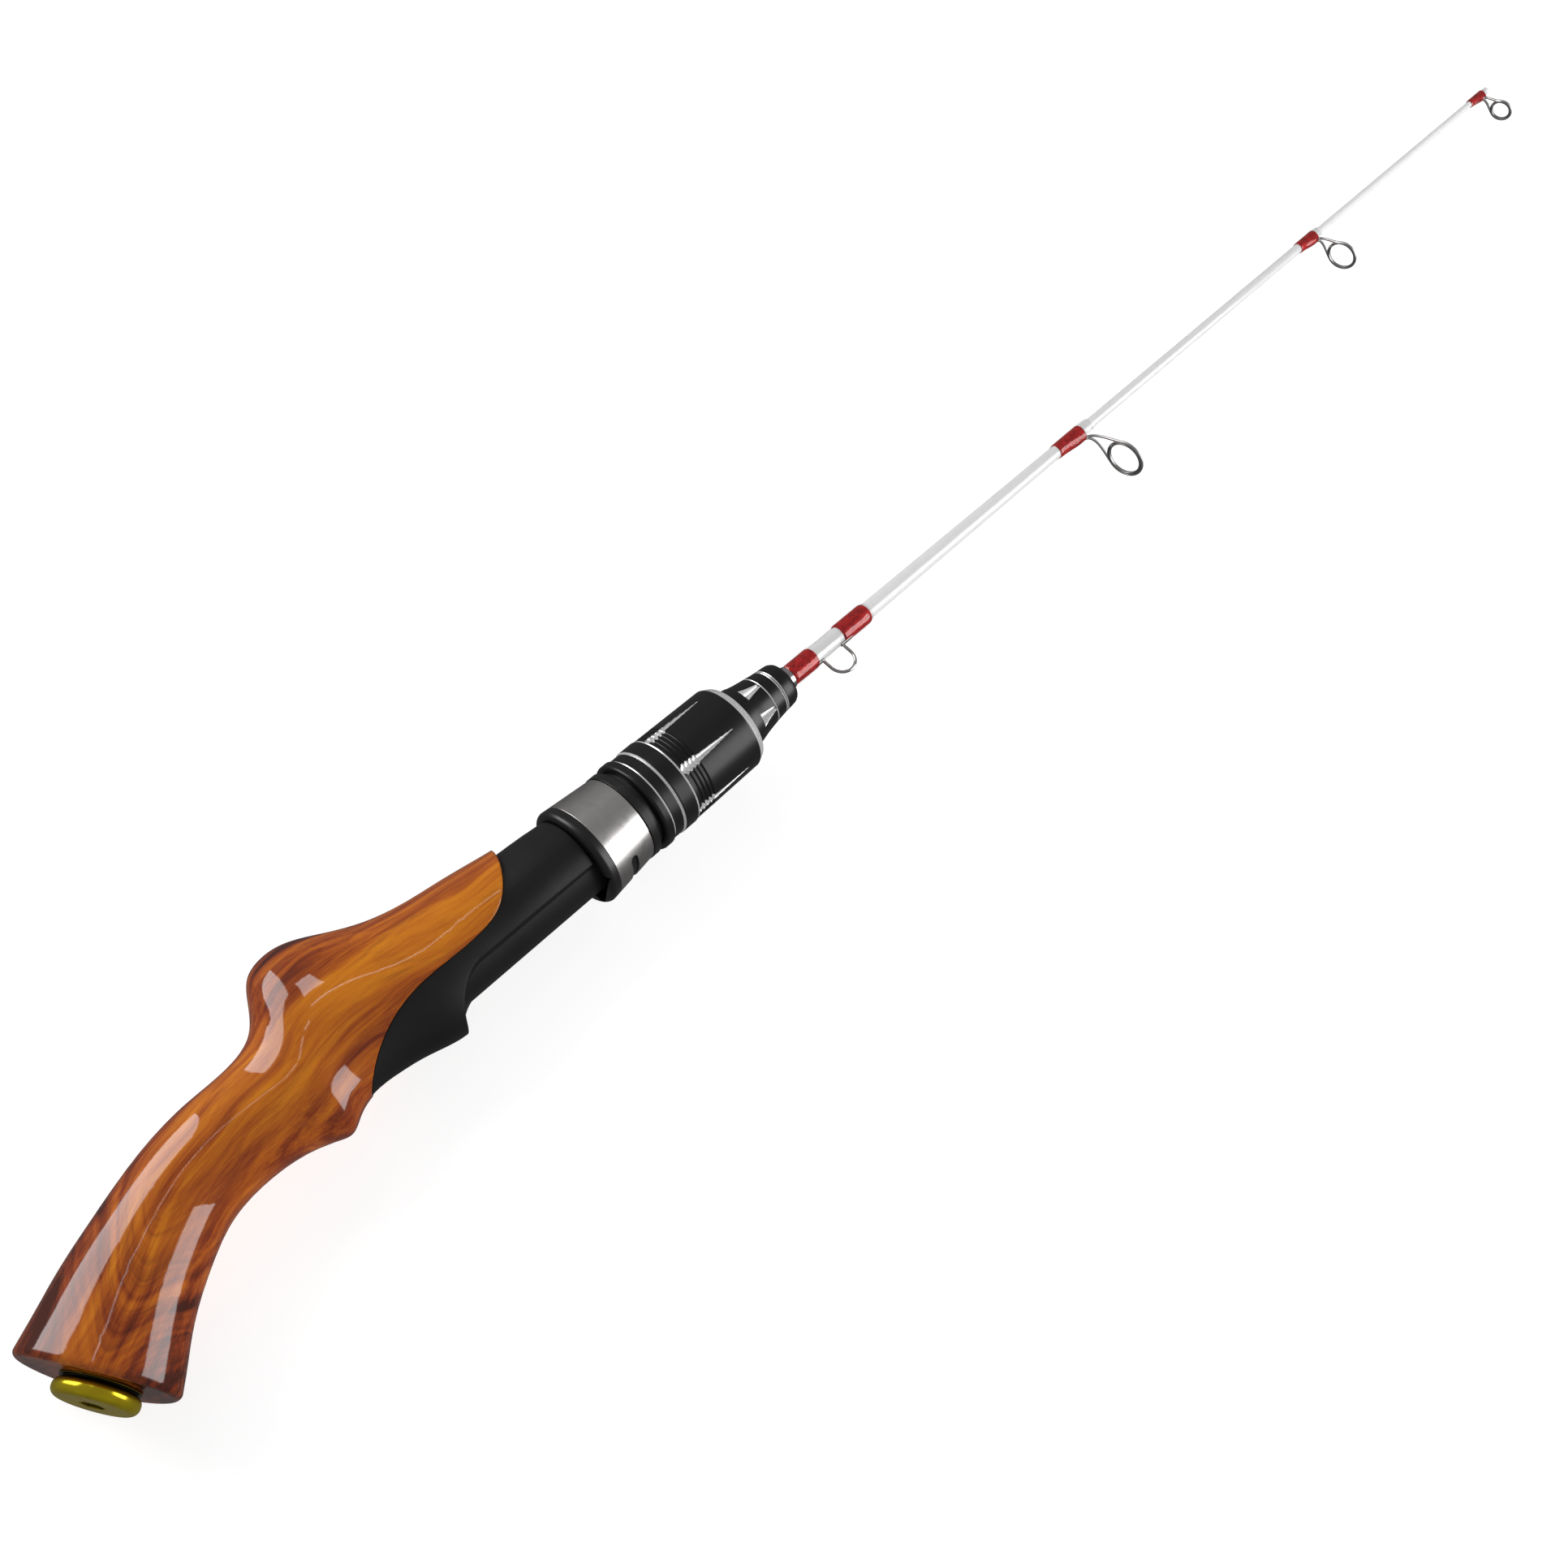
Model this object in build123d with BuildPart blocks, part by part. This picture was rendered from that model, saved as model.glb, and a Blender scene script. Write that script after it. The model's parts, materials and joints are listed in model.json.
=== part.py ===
from build123d import *

import math
import os

# Telescopic ice fishing rod with a pistol grip, millimetres.
#
# Frame: the rod lies on its left side. +X runs along the blank towards the tip, +Y points away
# from the reel (up when the rod is fished), +Z is the rod's right-hand side (up as it lies).
# The origin is on the blank's axis, at the middle of the bed that the reel's foot sits on.

os.makedirs("parts", exist_ok=True)

# ---------------------------------------------------------------- driving dimensions

# Clearances
SLIDE_GAP = 0.04          # radial, between parts that slide or turn on each other
GLUE_GAP = 0.05           # radial, between parts that are bonded together
FACE_GAP = 0.35           # between the hood's rim and the sleeve it stops against

# Handle: each station is (top x, top y, bottom x, bottom y, half width) of an elliptical section.
# The grip stands proud of the seat at its nose, so each has its own stations at the front.
GRIP_NOSE_STATIONS = [
    (12.0, 13.7, 12.0, -12.3, 12.7),
    (5.0, 14.4, 5.0, -12.5, 12.7),
    (-5.0, 16.1, -5.0, -13.0, 12.5),
    (-15.0, 17.6, -15.0, -14.2, 12.4),
]
SLEEVE_STATIONS = [
    (24.0, 11.3, 24.0, -11.2, 11.3),
    (16.0, 12.1, 16.0, -11.7, 11.9),
    (9.0, 12.5, 9.0, -12.1, 12.2),
    (0.0, 13.2, 0.0, -12.6, 12.3),
    (-12.0, 15.6, -12.0, -13.7, 12.4),
]
HANDLE_STATIONS = [
    (-24.5, 20.2, -24.5, -15.7, 12.5),
    (-33.0, 24.3, -33.5, -13.6, 12.7),
    (-40.0, 27.9, -41.0, -12.2, 12.9),
    (-46.5, 28.8, -48.5, -11.9, 13.0),
    (-51.6, 27.1, -53.5, -13.4, 12.9),
    (-55.5, 22.0, -57.6, -15.4, 12.7),
    (-59.6, 16.8, -61.0, -14.4, 12.4),
    (-67.0, 13.8, -66.5, -12.3, 12.1),
    (-80.0, 13.2, -76.0, -11.0, 11.9),
    (-95.0, 10.9, -87.0, -12.2, 12.1),
    (-109.0, 6.7, -97.0, -16.9, 12.5),
    (-121.0, 2.5, -107.0, -23.7, 12.9),
    (-129.0, -0.9, -113.0, -29.1, 13.3),
    (-134.6, -3.2, -117.3, -33.0, 13.6),
    (-138.1, -4.7, -120.1, -35.4, 13.8),
]
SEAT_INSET = 0.3          # the black seat lies this much below the grip's surface
HOOD_WALL = 1.4           # wall of the fixed hood
BUTT_TOP = (-136.7, -4.4)
BUTT_BOTTOM = (-118.95, -33.95)
BUTT_RISE = 0.7           # the butt's face is arched by this much between top and bottom
BUTT_EDGE_R = 1.3
BUTT_EDGE_DEPTH = 4.0     # the face's edge lies less than this below its crown

# Line where the grip meets the seat, seen from the side, from the nose back to the underside
NOSE_LINE = [(8.8, 14.4), (6.5, 8.8), (3.0, 3.3), (-2.5, -1.4), (-8.3, -2.9)]
FLANK_LINE = [(-21.6, -3.1), (-32.2, -3.7), (-39.8, -5.9), (-46.6, -9.6), (-52.8, -15.4)]
SEAT_ZONE_TOP_X = 13.0

# Mouth of the fixed hood, seen from the side, from its lower lip up to the edge of the bed
MOUTH_LIP = (-24.4, -18.0)
MOUTH_CURVE = [(-24.4, -16.2), (-23.7, -13.9), (-21.9, -11.4), (-18.8, -8.8), (-13.5, -7.0)]
BED_EDGE_Y = -7.0         # the sleeve is cut off along this height, and the barrel shows below it
POCKET_REAR_X = -40.0
REACH = 60.0              # well outside the handle, for cutting shapes

# Seat barrel
BARREL_R = 10.1
THREAD_R = 9.6
BARREL_REAR_X = -48.0
THREAD_REAR_X = 39.0
BARREL_FRONT_X = 77.0
BARREL_BORE_R = 6.5
TANG_R = 8.0
TANG_REAR_X = -65.0
KEYWAY_WIDTH = 3.0
KEYWAY_DEPTH = 0.8
KEYWAY_REAR_X = 25.5
KEY_REAR_X = 26.5         # rear end of the hood's key

# Sliding hood
RIM_X = 22.5              # rear face of the hood's rubber lip
RIM_EDGE_R = 1.4
HOOD_JOINT_X = 25.7       # where the metal shell meets the lip
HOOD_FRONT_X = 38.1
HOOD_FRONT_R = 11.9
HOOD_REAR_HALF_WIDTH = 12.9
HOOD_REAR_HALF_HEIGHT = 13.2
HOOD_REAR_DROP = 0.3      # the rear oval's centre lies this far towards the reel
SHELL_THICKNESS = 0.5
FOOT_CHANNEL_HALF_WIDTH = 6.6
FOOT_CHANNEL_REAR_Y = -11.8
FOOT_CHANNEL_FRONT_X = 34.5
NECK_R = 10.8
NECK_FRONT_X = 43.4
SLIP_RING_X = (38.25, 40.35)
SLIP_RING_R = 12.1
VENT_X = 31.3
VENT_LENGTH = 12.0
VENT_WIDTH = 2.3

# Locking nut, as (x, radius): its flange, then each band (rear x, rear radius, front x, front
# radius) behind a V groove, then its front edge
NUT_REAR_X = 42.2
NUT_FLANGE = [(NUT_REAR_X, 11.7), (42.9, 12.5), (44.7, 12.5)]
NUT_BANDS = [(45.3, 12.05, 48.2, 12.05), (48.8, 12.3, 53.0, 12.3), (53.6, 12.1, 75.5, 11.75)]
NUT_GROOVES_X = [45.0, 48.5, 53.3]
NUT_GROOVE_DEPTH = 0.35
NUT_FRONT = (77.5, 10.75)
INSERT_OUTER_R = 10.95
INSERT_X = (43.9, 61.0)
NUT_BORE_R = 10.0
NUT_LIP_X = 75.6
NUT_LIP_R = 9.7
FLUTE_COUNT = 6
FLUTE_X = (54.2, 71.5)
FLUTE_RADII = (1.1, 0.15)
FLUTE_PHASE = 52.0

# Front cone
CONE_OUTLINE = [(77.4, 8.6), (80.4, 8.3), (84.0, 7.5), (87.3, 6.95), (90.2, 6.55), (93.8, 6.2)]
CONE_FRONT_X = 96.1
CONE_NOSE_R = 4.6
CONE_SPIGOT_REAR_X = 67.0
NOTCH_X = (81.6, 87.1)
NOTCH_SIDE = 1.5
NOTCH_CENTRE_R = 7.6
NOTCH_PHASE = 20.0

# Blank, three sections of glass tube that slide into one another
BASE_REAR_X = -33.0
BASE_JOINT_X = 96.0
BASE_FRONT_X = 223.7
BASE_R = (2.6, 2.47, 1.8)
BASE_BORE_R = 1.57
MIDDLE_X = (204.0, 340.2)
MIDDLE_R = (1.53, 1.43)
MIDDLE_BORE_R = 1.1
TIP_X = (324.0, 440.3)
TIP_R = (1.06, 1.0)
TIP_ROUND = 0.5
BASE_PLUG_LENGTH = 8.0
BASE_PLUG_HEAD = 1.5
ARBOR_X = [(-20.0, -8.0), (29.0, 41.0)]

# Winding check, hook keeper and its two wraps
CHECK_X = (96.2, 98.2)
CHECK_R = 3.15
KEEPER_WRAPS = [(98.3, 107.4), (117.4, 127.9)]
KEEPER_THREAD = 0.35      # thickness of the wound thread
BULGE_SIDE_SHARE = 0.125  # a wrap that bulges over a foot widens by this share of the bulge
KEEPER_COAT = 0.33        # thickness of the epoxy over it
KEEPER_BULGE = 0.2        # how far the feet lift the thread on the reel side
KEEPER_COAT_SAG = 0.2     # the coat is thinner between the wraps
KEEPER_COAT_RAMP = 1.5
KEEPER_COAT_END = 0.8
KEEPER_COAT_END_LIFT = 0.11
KEEPER_COAT_LEVEL = 5.0   # the coat keeps its full thickness this far over the front wrap
KEEPER_LOOP_X = (108.3, 116.6)
KEEPER_DEPTH_Y = -9.6
KEEPER_WIRE_R = 0.42
KEEPER_FOOT_X = (104.9, 119.9)
KEEPER_FOOT_WIDTH = 1.3
KEEPER_FOOT_THICK = 0.3

# Line guides: wrap start and end, foot tip, ring centre x and y, ring radii outer, seat and bore,
# and how far the ring leans towards the tip in degrees
GUIDES = [
    {"wrap": (208.6, 219.6), "foot_tip": 219.4, "ring": (222.4, -14.4), "radii": (5.9, 5.25, 4.6),
     "lean": 5.0, "blank_r": 1.89, "coat_end": 223.2},
    {"wrap": (328.8, 337.4), "foot_tip": 337.2, "ring": (337.9, -10.7), "radii": (4.8, 4.3, 3.85),
     "lean": 7.0, "blank_r": 1.45, "coat_end": 339.2},
    {"wrap": (429.1, 437.1), "foot_tip": 435.5, "ring": (435.9, -8.5), "radii": (3.7, 3.15, 2.65),
     "lean": 10.0, "blank_r": 1.03, "coat_end": 438.1},
]
GUIDE_DEPTH = 1.0         # thickness of a ring along the line's path
GUIDE_WIRE_R = 0.36
GUIDE_FOOT_WIDTH = 1.4
GUIDE_FOOT_THICK = 0.45
GUIDE_FOOT_START = 1.0    # the foot starts this far inside its wrap
GUIDE_LEG_START = 0.6     # the legs leave the foot this far behind its tip
GUIDE_THREAD = 0.14
GUIDE_COAT = 0.14
GUIDE_COAT_REAR = 0.4     # the coat starts this far behind the thread
THREAD_OVER_FOOT = 0.25   # thread that lies over the foot

# Butt cap and what it screws into, along the butt's own axis from the crown of its face
CAP_SHIFT = 1.3           # its axis lies this far from the face's middle, towards the reel side
COLLAR_R = 8.5
COLLAR_X = (0.05, 0.25)
WASHER_R = 7.7
WASHER_X = (0.3, 0.5)
CAP_R = 9.1
CAP_X = (0.55, 4.4)
CAP_EDGE_R = 1.8
SOCKET_FLATS = 5.0
SOCKET_DEPTH = 2.4
STUD_R = 2.5
STUD_X = (-18.0, 1.7)
INSERT_BUSH_R = 3.9
INSERT_BUSH_X = (-16.0, -0.05)
BUTT_BORE_DEPTH = 20.0


# ---------------------------------------------------------------- helpers

def save(piece, label):
    """Name a finished sub-part and write its STEP file."""
    piece.part.label = label
    export_step(piece.part, f"parts/{label}.step")


def turned(outline):
    """A solid turned about the blank's axis from a closed (x, radius) outline."""
    with BuildPart() as body:
        with BuildSketch(Plane.XY):
            with BuildLine():
                Polyline(*outline, close=True)
            make_face()
        revolve(axis=Axis.X)
    return body


def tube(x_range, inner_r, outer_r):
    """A plain ring or tube about the blank's axis."""
    with BuildPart() as body:
        with BuildSketch(Plane.YZ.offset(x_range[0])):
            Circle(outer_r)
            Circle(inner_r, mode=Mode.SUBTRACT)
        extrude(amount=x_range[1] - x_range[0])
    return body


def side_block(outline_points, spline_points):
    """A block through the whole width, bounded by a smooth line and a polyline, seen from the side."""
    with BuildPart() as block:
        with BuildSketch(Plane.XY):
            with BuildLine():
                Spline(*spline_points)
                Polyline(spline_points[-1], *outline_points, spline_points[0])
            make_face()
        extrude(amount=REACH, both=True)
    return block.part


def handle_form(front_stations, inset):
    """The handle's outer form with the given front stations, drawn in from its surface by the inset."""
    with BuildPart() as form:
        for top_x, top_y, bottom_x, bottom_y, half_width in front_stations + HANDLE_STATIONS:
            centre = Vector((top_x + bottom_x) / 2, (top_y + bottom_y) / 2, 0)
            across = Vector(top_x - bottom_x, top_y - bottom_y, 0)
            section = Plane(origin=centre, x_dir=across, z_dir=Vector(across.Y, -across.X, 0))
            with BuildSketch(section):
                Ellipse(across.length / 2 - inset, half_width - inset)
        loft()
    return form.part


def base_radius(x):
    """Outer radius of the blank's base section at x."""
    rear_r, joint_r, front_r = BASE_R
    if x < BASE_JOINT_X:
        share = (x - BASE_REAR_X) / (BASE_JOINT_X - BASE_REAR_X)
        return rear_r + share * (joint_r - rear_r)
    share = (x - BASE_JOINT_X) / (BASE_FRONT_X - BASE_JOINT_X)
    return joint_r + share * (front_r - joint_r)


BUTT_ACROSS = Vector(BUTT_TOP[0] - BUTT_BOTTOM[0], BUTT_TOP[1] - BUTT_BOTTOM[1], 0)
BUTT_OUT = Vector(-BUTT_ACROSS.Y, BUTT_ACROSS.X, 0).normalized()
BUTT_CROWN = Vector(
    (BUTT_TOP[0] + BUTT_BOTTOM[0]) / 2,
    (BUTT_TOP[1] + BUTT_BOTTOM[1]) / 2,
    0,
) + BUTT_OUT * BUTT_RISE
BUTT_PLANE = Plane(
    origin=BUTT_CROWN - BUTT_ACROSS.normalized() * CAP_SHIFT,
    x_dir=BUTT_ACROSS,
    z_dir=BUTT_OUT,
)
FROM_FACE = (Align.CENTER, Align.CENTER, Align.MIN)

grip_form = handle_form(GRIP_NOSE_STATIONS, 0)
seat_form = handle_form(SLEEVE_STATIONS, SEAT_INSET)
hollow_form = handle_form(SLEEVE_STATIONS, SEAT_INSET + HOOD_WALL)

# Everything below and ahead of the line where the grip meets the seat
seat_zone = side_block(
    [(FLANK_LINE[-1][0], -REACH), (REACH, -REACH), (REACH, REACH), (SEAT_ZONE_TOP_X, REACH)],
    NOSE_LINE + FLANK_LINE,
)

# Everything under the fixed hood's mouth and under the edge of the bed
mouth_zone = side_block(
    [(REACH, BED_EDGE_Y), (REACH, -REACH), (MOUTH_LIP[0], -REACH), MOUTH_LIP],
    MOUTH_CURVE,
)

# Everything beyond the arched face of the butt
butt_top = Vector(*BUTT_TOP)
butt_bottom = Vector(*BUTT_BOTTOM)
past_edge = BUTT_ACROSS.normalized() * REACH
past_face = BUTT_OUT * REACH
with BuildPart() as butt_cut:
    with BuildSketch(Plane.XY):
        with BuildLine():
            ThreePointArc(butt_top, BUTT_CROWN, butt_bottom)
            Polyline(
                butt_bottom, butt_bottom - past_edge, butt_bottom - past_edge + past_face,
                butt_top + past_edge + past_face, butt_top + past_edge, butt_top,
            )
        make_face()
    extrude(amount=REACH, both=True)

# ---------------------------------------------------------------- reel seat

# Hollow of the fixed hood, where the rear end of the reel's foot goes
with BuildPart() as foot_pocket:
    add(hollow_form)
    with BuildSketch(Plane.XY):
        with BuildLine():
            Polyline(
                (POCKET_REAR_X, BED_EDGE_Y), (REACH, BED_EDGE_Y), (REACH, -REACH),
                (POCKET_REAR_X, -REACH), close=True,
            )
        make_face()
    extrude(amount=FOOT_CHANNEL_HALF_WIDTH, both=True, mode=Mode.INTERSECT)

# Seat body: one black moulding with the barrel, the sleeve over its back and the fixed hood
with BuildPart() as seat_body:
    add(seat_form)
    add(seat_zone, mode=Mode.INTERSECT)
    add(mouth_zone, mode=Mode.SUBTRACT)
    add(foot_pocket.part, mode=Mode.SUBTRACT)
    # the sleeve ends where the hood's rim stops against it
    with BuildSketch(Plane.YZ.offset(RIM_X - FACE_GAP)):
        Circle(REACH)
    extrude(amount=REACH, mode=Mode.SUBTRACT)
    # smooth barrel under the foot, then the threaded length under the nut
    with BuildSketch(Plane.YZ.offset(BARREL_REAR_X)):
        Circle(BARREL_R)
    extrude(amount=THREAD_REAR_X - BARREL_REAR_X)
    with BuildSketch(Plane.YZ.offset(THREAD_REAR_X)):
        Circle(THREAD_R)
    extrude(amount=BARREL_FRONT_X - THREAD_REAR_X)
    # tang that the grip is bonded to
    with BuildSketch(Plane.YZ.offset(TANG_REAR_X)):
        Circle(TANG_R)
    extrude(amount=BARREL_REAR_X - TANG_REAR_X)
    # bore for the blank and its arbors
    with BuildSketch(Plane.YZ.offset(TANG_REAR_X)):
        Circle(BARREL_BORE_R)
    extrude(amount=BARREL_FRONT_X - TANG_REAR_X, mode=Mode.SUBTRACT)
    # keyway that stops the hood from turning
    with Locations((KEYWAY_REAR_X, BARREL_R, 0)):
        Box(
            BARREL_FRONT_X - KEYWAY_REAR_X, 2 * KEYWAY_DEPTH, KEYWAY_WIDTH,
            align=(Align.MIN, Align.CENTER, Align.CENTER), mode=Mode.SUBTRACT,
        )
save(seat_body, "seat_body")

# ---------------------------------------------------------------- grip

with BuildPart() as grip_body:
    add(grip_form)
    add(butt_cut.part, mode=Mode.SUBTRACT)
    fillet(
        grip_body.edges().filter_by(
            lambda edge: BUTT_PLANE.to_local_coords(edge.center()).Z > -BUTT_EDGE_DEPTH,
        ),
        BUTT_EDGE_R,
    )
    add(seat_zone, mode=Mode.SUBTRACT)
    # socket for the barrel and its tang
    with BuildSketch(Plane.YZ.offset(BARREL_REAR_X - GLUE_GAP)):
        Circle(BARREL_R + GLUE_GAP)
    extrude(amount=REACH + REACH, mode=Mode.SUBTRACT)
    with BuildSketch(Plane.YZ.offset(TANG_REAR_X - GLUE_GAP)):
        Circle(TANG_R + GLUE_GAP)
    extrude(amount=REACH, mode=Mode.SUBTRACT)
    # bore for the butt's threaded bush
    with BuildSketch(BUTT_PLANE):
        Circle(INSERT_BUSH_R + GLUE_GAP)
    extrude(amount=-BUTT_BORE_DEPTH, mode=Mode.SUBTRACT)
save(grip_body, "grip_body")

# ---------------------------------------------------------------- butt cap

with BuildPart() as butt_collar:
    with BuildSketch(BUTT_PLANE.offset(COLLAR_X[0])):
        Circle(COLLAR_R)
        Circle(STUD_R + GLUE_GAP, mode=Mode.SUBTRACT)
    extrude(amount=COLLAR_X[1] - COLLAR_X[0])
save(butt_collar, "butt_collar")

with BuildPart() as butt_washer:
    with BuildSketch(BUTT_PLANE.offset(WASHER_X[0])):
        Circle(WASHER_R)
        Circle(STUD_R + GLUE_GAP, mode=Mode.SUBTRACT)
    extrude(amount=WASHER_X[1] - WASHER_X[0])
save(butt_washer, "butt_washer")

with BuildPart() as butt_cap:
    with BuildSketch(BUTT_PLANE.offset(CAP_X[0])):
        Circle(CAP_R)
    extrude(amount=CAP_X[1] - CAP_X[0])
    fillet(butt_cap.edges().filter_by(GeomType.CIRCLE), CAP_EDGE_R)
    with BuildSketch(BUTT_PLANE.offset(CAP_X[1])):
        RegularPolygon(SOCKET_FLATS / 2, 6, major_radius=False)
    extrude(amount=-SOCKET_DEPTH, mode=Mode.SUBTRACT)
    with BuildSketch(BUTT_PLANE.offset(CAP_X[0])):
        Circle(STUD_R + GLUE_GAP)
    extrude(amount=STUD_X[1] + GLUE_GAP - CAP_X[0], mode=Mode.SUBTRACT)
save(butt_cap, "butt_cap")

with BuildPart() as butt_stud:
    with BuildSketch(BUTT_PLANE.offset(STUD_X[0])):
        Circle(STUD_R)
    extrude(amount=STUD_X[1] - STUD_X[0])
save(butt_stud, "butt_stud")

with BuildPart() as butt_bush:
    with BuildSketch(BUTT_PLANE.offset(INSERT_BUSH_X[0])):
        Circle(INSERT_BUSH_R)
        Circle(STUD_R + SLIDE_GAP, mode=Mode.SUBTRACT)
    extrude(amount=INSERT_BUSH_X[1] - INSERT_BUSH_X[0])
save(butt_bush, "butt_bush")

# ---------------------------------------------------------------- sliding hood


def hood_section(x, inset):
    """Plane and half axes of the hood's oval at x, drawn in by the inset."""
    share = (x - HOOD_JOINT_X) / (HOOD_FRONT_X - HOOD_JOINT_X)
    drop = HOOD_REAR_DROP * (1 - share)
    half_height = HOOD_REAR_HALF_HEIGHT + share * (HOOD_FRONT_R - HOOD_REAR_HALF_HEIGHT)
    half_width = HOOD_REAR_HALF_WIDTH + share * (HOOD_FRONT_R - HOOD_REAR_HALF_WIDTH)
    plane = Plane(origin=(x, -drop, 0), x_dir=(0, 1, 0), z_dir=(1, 0, 0))
    return plane, half_height - inset, half_width - inset


with BuildPart() as hood_shell:
    for x in (HOOD_JOINT_X, HOOD_FRONT_X):
        section, half_height, half_width = hood_section(x, 0)
        with BuildSketch(section):
            Ellipse(half_height, half_width)
    loft()
    for x in (HOOD_JOINT_X, HOOD_FRONT_X):
        section, half_height, half_width = hood_section(x, SHELL_THICKNESS)
        with BuildSketch(section):
            Ellipse(half_height, half_width)
    loft(mode=Mode.SUBTRACT)
    # vent on the reel side
    with BuildSketch(Plane.XZ.offset(HOOD_FRONT_R / 2)):
        with Locations((VENT_X, 0)):
            SlotOverall(VENT_LENGTH, VENT_WIDTH, rotation=90)
    extrude(amount=HOOD_FRONT_R, mode=Mode.SUBTRACT)
save(hood_shell, "hood_shell")

with BuildPart() as hood_liner:
    # rounded lip behind the shell
    for x in (RIM_X, HOOD_JOINT_X - GLUE_GAP):
        section, half_height, half_width = hood_section(x, 0)
        with BuildSketch(section):
            Ellipse(half_height, half_width)
    loft()
    fillet(hood_liner.edges().group_by(Axis.X)[0], RIM_EDGE_R)
    # body inside the shell
    for x in (HOOD_JOINT_X - GLUE_GAP, HOOD_FRONT_X):
        section, half_height, half_width = hood_section(x, SHELL_THICKNESS + GLUE_GAP)
        with BuildSketch(section):
            Ellipse(half_height, half_width)
    loft()
    # neck that runs into the nut
    with BuildSketch(Plane.YZ.offset(HOOD_FRONT_X)):
        Circle(NECK_R)
    extrude(amount=NECK_FRONT_X - HOOD_FRONT_X)
    # bore that slides on the barrel
    with BuildSketch(Plane.YZ.offset(0)):
        Circle(BARREL_R + SLIDE_GAP)
    extrude(amount=REACH, mode=Mode.SUBTRACT)
    # channel for the front end of the reel's foot, wide at the rim and shallow at its end
    with BuildSketch(Plane.XY):
        with BuildLine():
            Polyline(
                (RIM_X - FACE_GAP, 0), (RIM_X - FACE_GAP, FOOT_CHANNEL_REAR_Y),
                (FOOT_CHANNEL_FRONT_X, -BARREL_R), (FOOT_CHANNEL_FRONT_X, 0), close=True,
            )
        make_face()
    extrude(amount=FOOT_CHANNEL_HALF_WIDTH, both=True, mode=Mode.SUBTRACT)
    # key that runs in the barrel's keyway
    with Locations((KEY_REAR_X, BARREL_R - KEYWAY_DEPTH + SLIDE_GAP, 0)):
        Box(
            NECK_FRONT_X - KEY_REAR_X, KEYWAY_DEPTH + SLIDE_GAP, KEYWAY_WIDTH - 2 * SLIDE_GAP,
            align=(Align.MIN, Align.MIN, Align.CENTER),
        )
save(hood_liner, "hood_liner")

slip_ring = tube(SLIP_RING_X, NECK_R + GLUE_GAP, SLIP_RING_R)
save(slip_ring, "slip_ring")

# ---------------------------------------------------------------- locking nut


def nut_outline():
    """The nut's profile: its flange, then each band behind a V groove, then the front chamfer."""
    points = list(NUT_FLANGE)
    for groove_x, (rear_x, rear_r, front_x, front_r) in zip(NUT_GROOVES_X, NUT_BANDS):
        points += [(groove_x, rear_r - NUT_GROOVE_DEPTH), (rear_x, rear_r), (front_x, front_r)]
    return points + [NUT_FRONT]


with BuildPart() as nut_shell:
    with BuildSketch(Plane.XY):
        with BuildLine():
            Polyline(
                *nut_outline(),
                (NUT_FRONT[0], NUT_LIP_R), (NUT_LIP_X, NUT_LIP_R), (NUT_LIP_X, NUT_BORE_R),
                (INSERT_X[1] + GLUE_GAP, NUT_BORE_R), (INSERT_X[1] + GLUE_GAP, INSERT_OUTER_R + GLUE_GAP),
                (NUT_REAR_X, INSERT_OUTER_R + GLUE_GAP), close=True,
            )
        make_face()
    revolve(axis=Axis.X)
    # long flutes, deep at the rear and fading out to the front
    with Locations(Plane.YZ.offset(FLUTE_X[0])):
        with PolarLocations(NUT_BANDS[-1][1] + FLUTE_RADII[0] / 2, FLUTE_COUNT, start_angle=FLUTE_PHASE):
            Cone(
                FLUTE_RADII[0], FLUTE_RADII[1], FLUTE_X[1] - FLUTE_X[0],
                align=FROM_FACE, mode=Mode.SUBTRACT,
            )
save(nut_shell, "nut_shell")

nut_insert = tube(INSERT_X, THREAD_R + SLIDE_GAP, INSERT_OUTER_R)
save(nut_insert, "nut_insert")

# ---------------------------------------------------------------- front cone

with BuildPart() as front_cone:
    with BuildSketch(Plane.XY):
        with BuildLine():
            Spline(*CONE_OUTLINE)
            Polyline(
                CONE_OUTLINE[-1], (CONE_FRONT_X, CONE_NOSE_R), (CONE_FRONT_X, 0),
                (CONE_SPIGOT_REAR_X, 0), (CONE_SPIGOT_REAR_X, BARREL_BORE_R - GLUE_GAP),
                (CONE_OUTLINE[0][0], BARREL_BORE_R - GLUE_GAP), CONE_OUTLINE[0],
            )
        make_face()
    revolve(axis=Axis.X)
    with BuildSketch(Plane.YZ.offset(CONE_SPIGOT_REAR_X)):
        Circle(base_radius(CONE_SPIGOT_REAR_X) + GLUE_GAP)
    extrude(amount=REACH, mode=Mode.SUBTRACT)
    # milled notches round the cone
    with Locations(Plane.YZ.offset(NOTCH_X[0])):
        with PolarLocations(NOTCH_CENTRE_R, FLUTE_COUNT, start_angle=NOTCH_PHASE):
            Box(
                NOTCH_SIDE, NOTCH_SIDE, NOTCH_X[1] - NOTCH_X[0], rotation=(0, 0, 45),
                align=FROM_FACE, mode=Mode.SUBTRACT,
            )
save(front_cone, "front_cone")

# ---------------------------------------------------------------- blank

blank_base = turned([
    (BASE_REAR_X, BASE_BORE_R), (BASE_REAR_X, BASE_R[0]), (BASE_JOINT_X, BASE_R[1]),
    (BASE_FRONT_X, BASE_R[2]), (BASE_FRONT_X, BASE_BORE_R),
])
save(blank_base, "blank_base")

blank_middle = turned([
    (MIDDLE_X[0], MIDDLE_BORE_R), (MIDDLE_X[0], MIDDLE_R[0]),
    (MIDDLE_X[1], MIDDLE_R[1]), (MIDDLE_X[1], MIDDLE_BORE_R),
])
save(blank_middle, "blank_middle")

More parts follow.
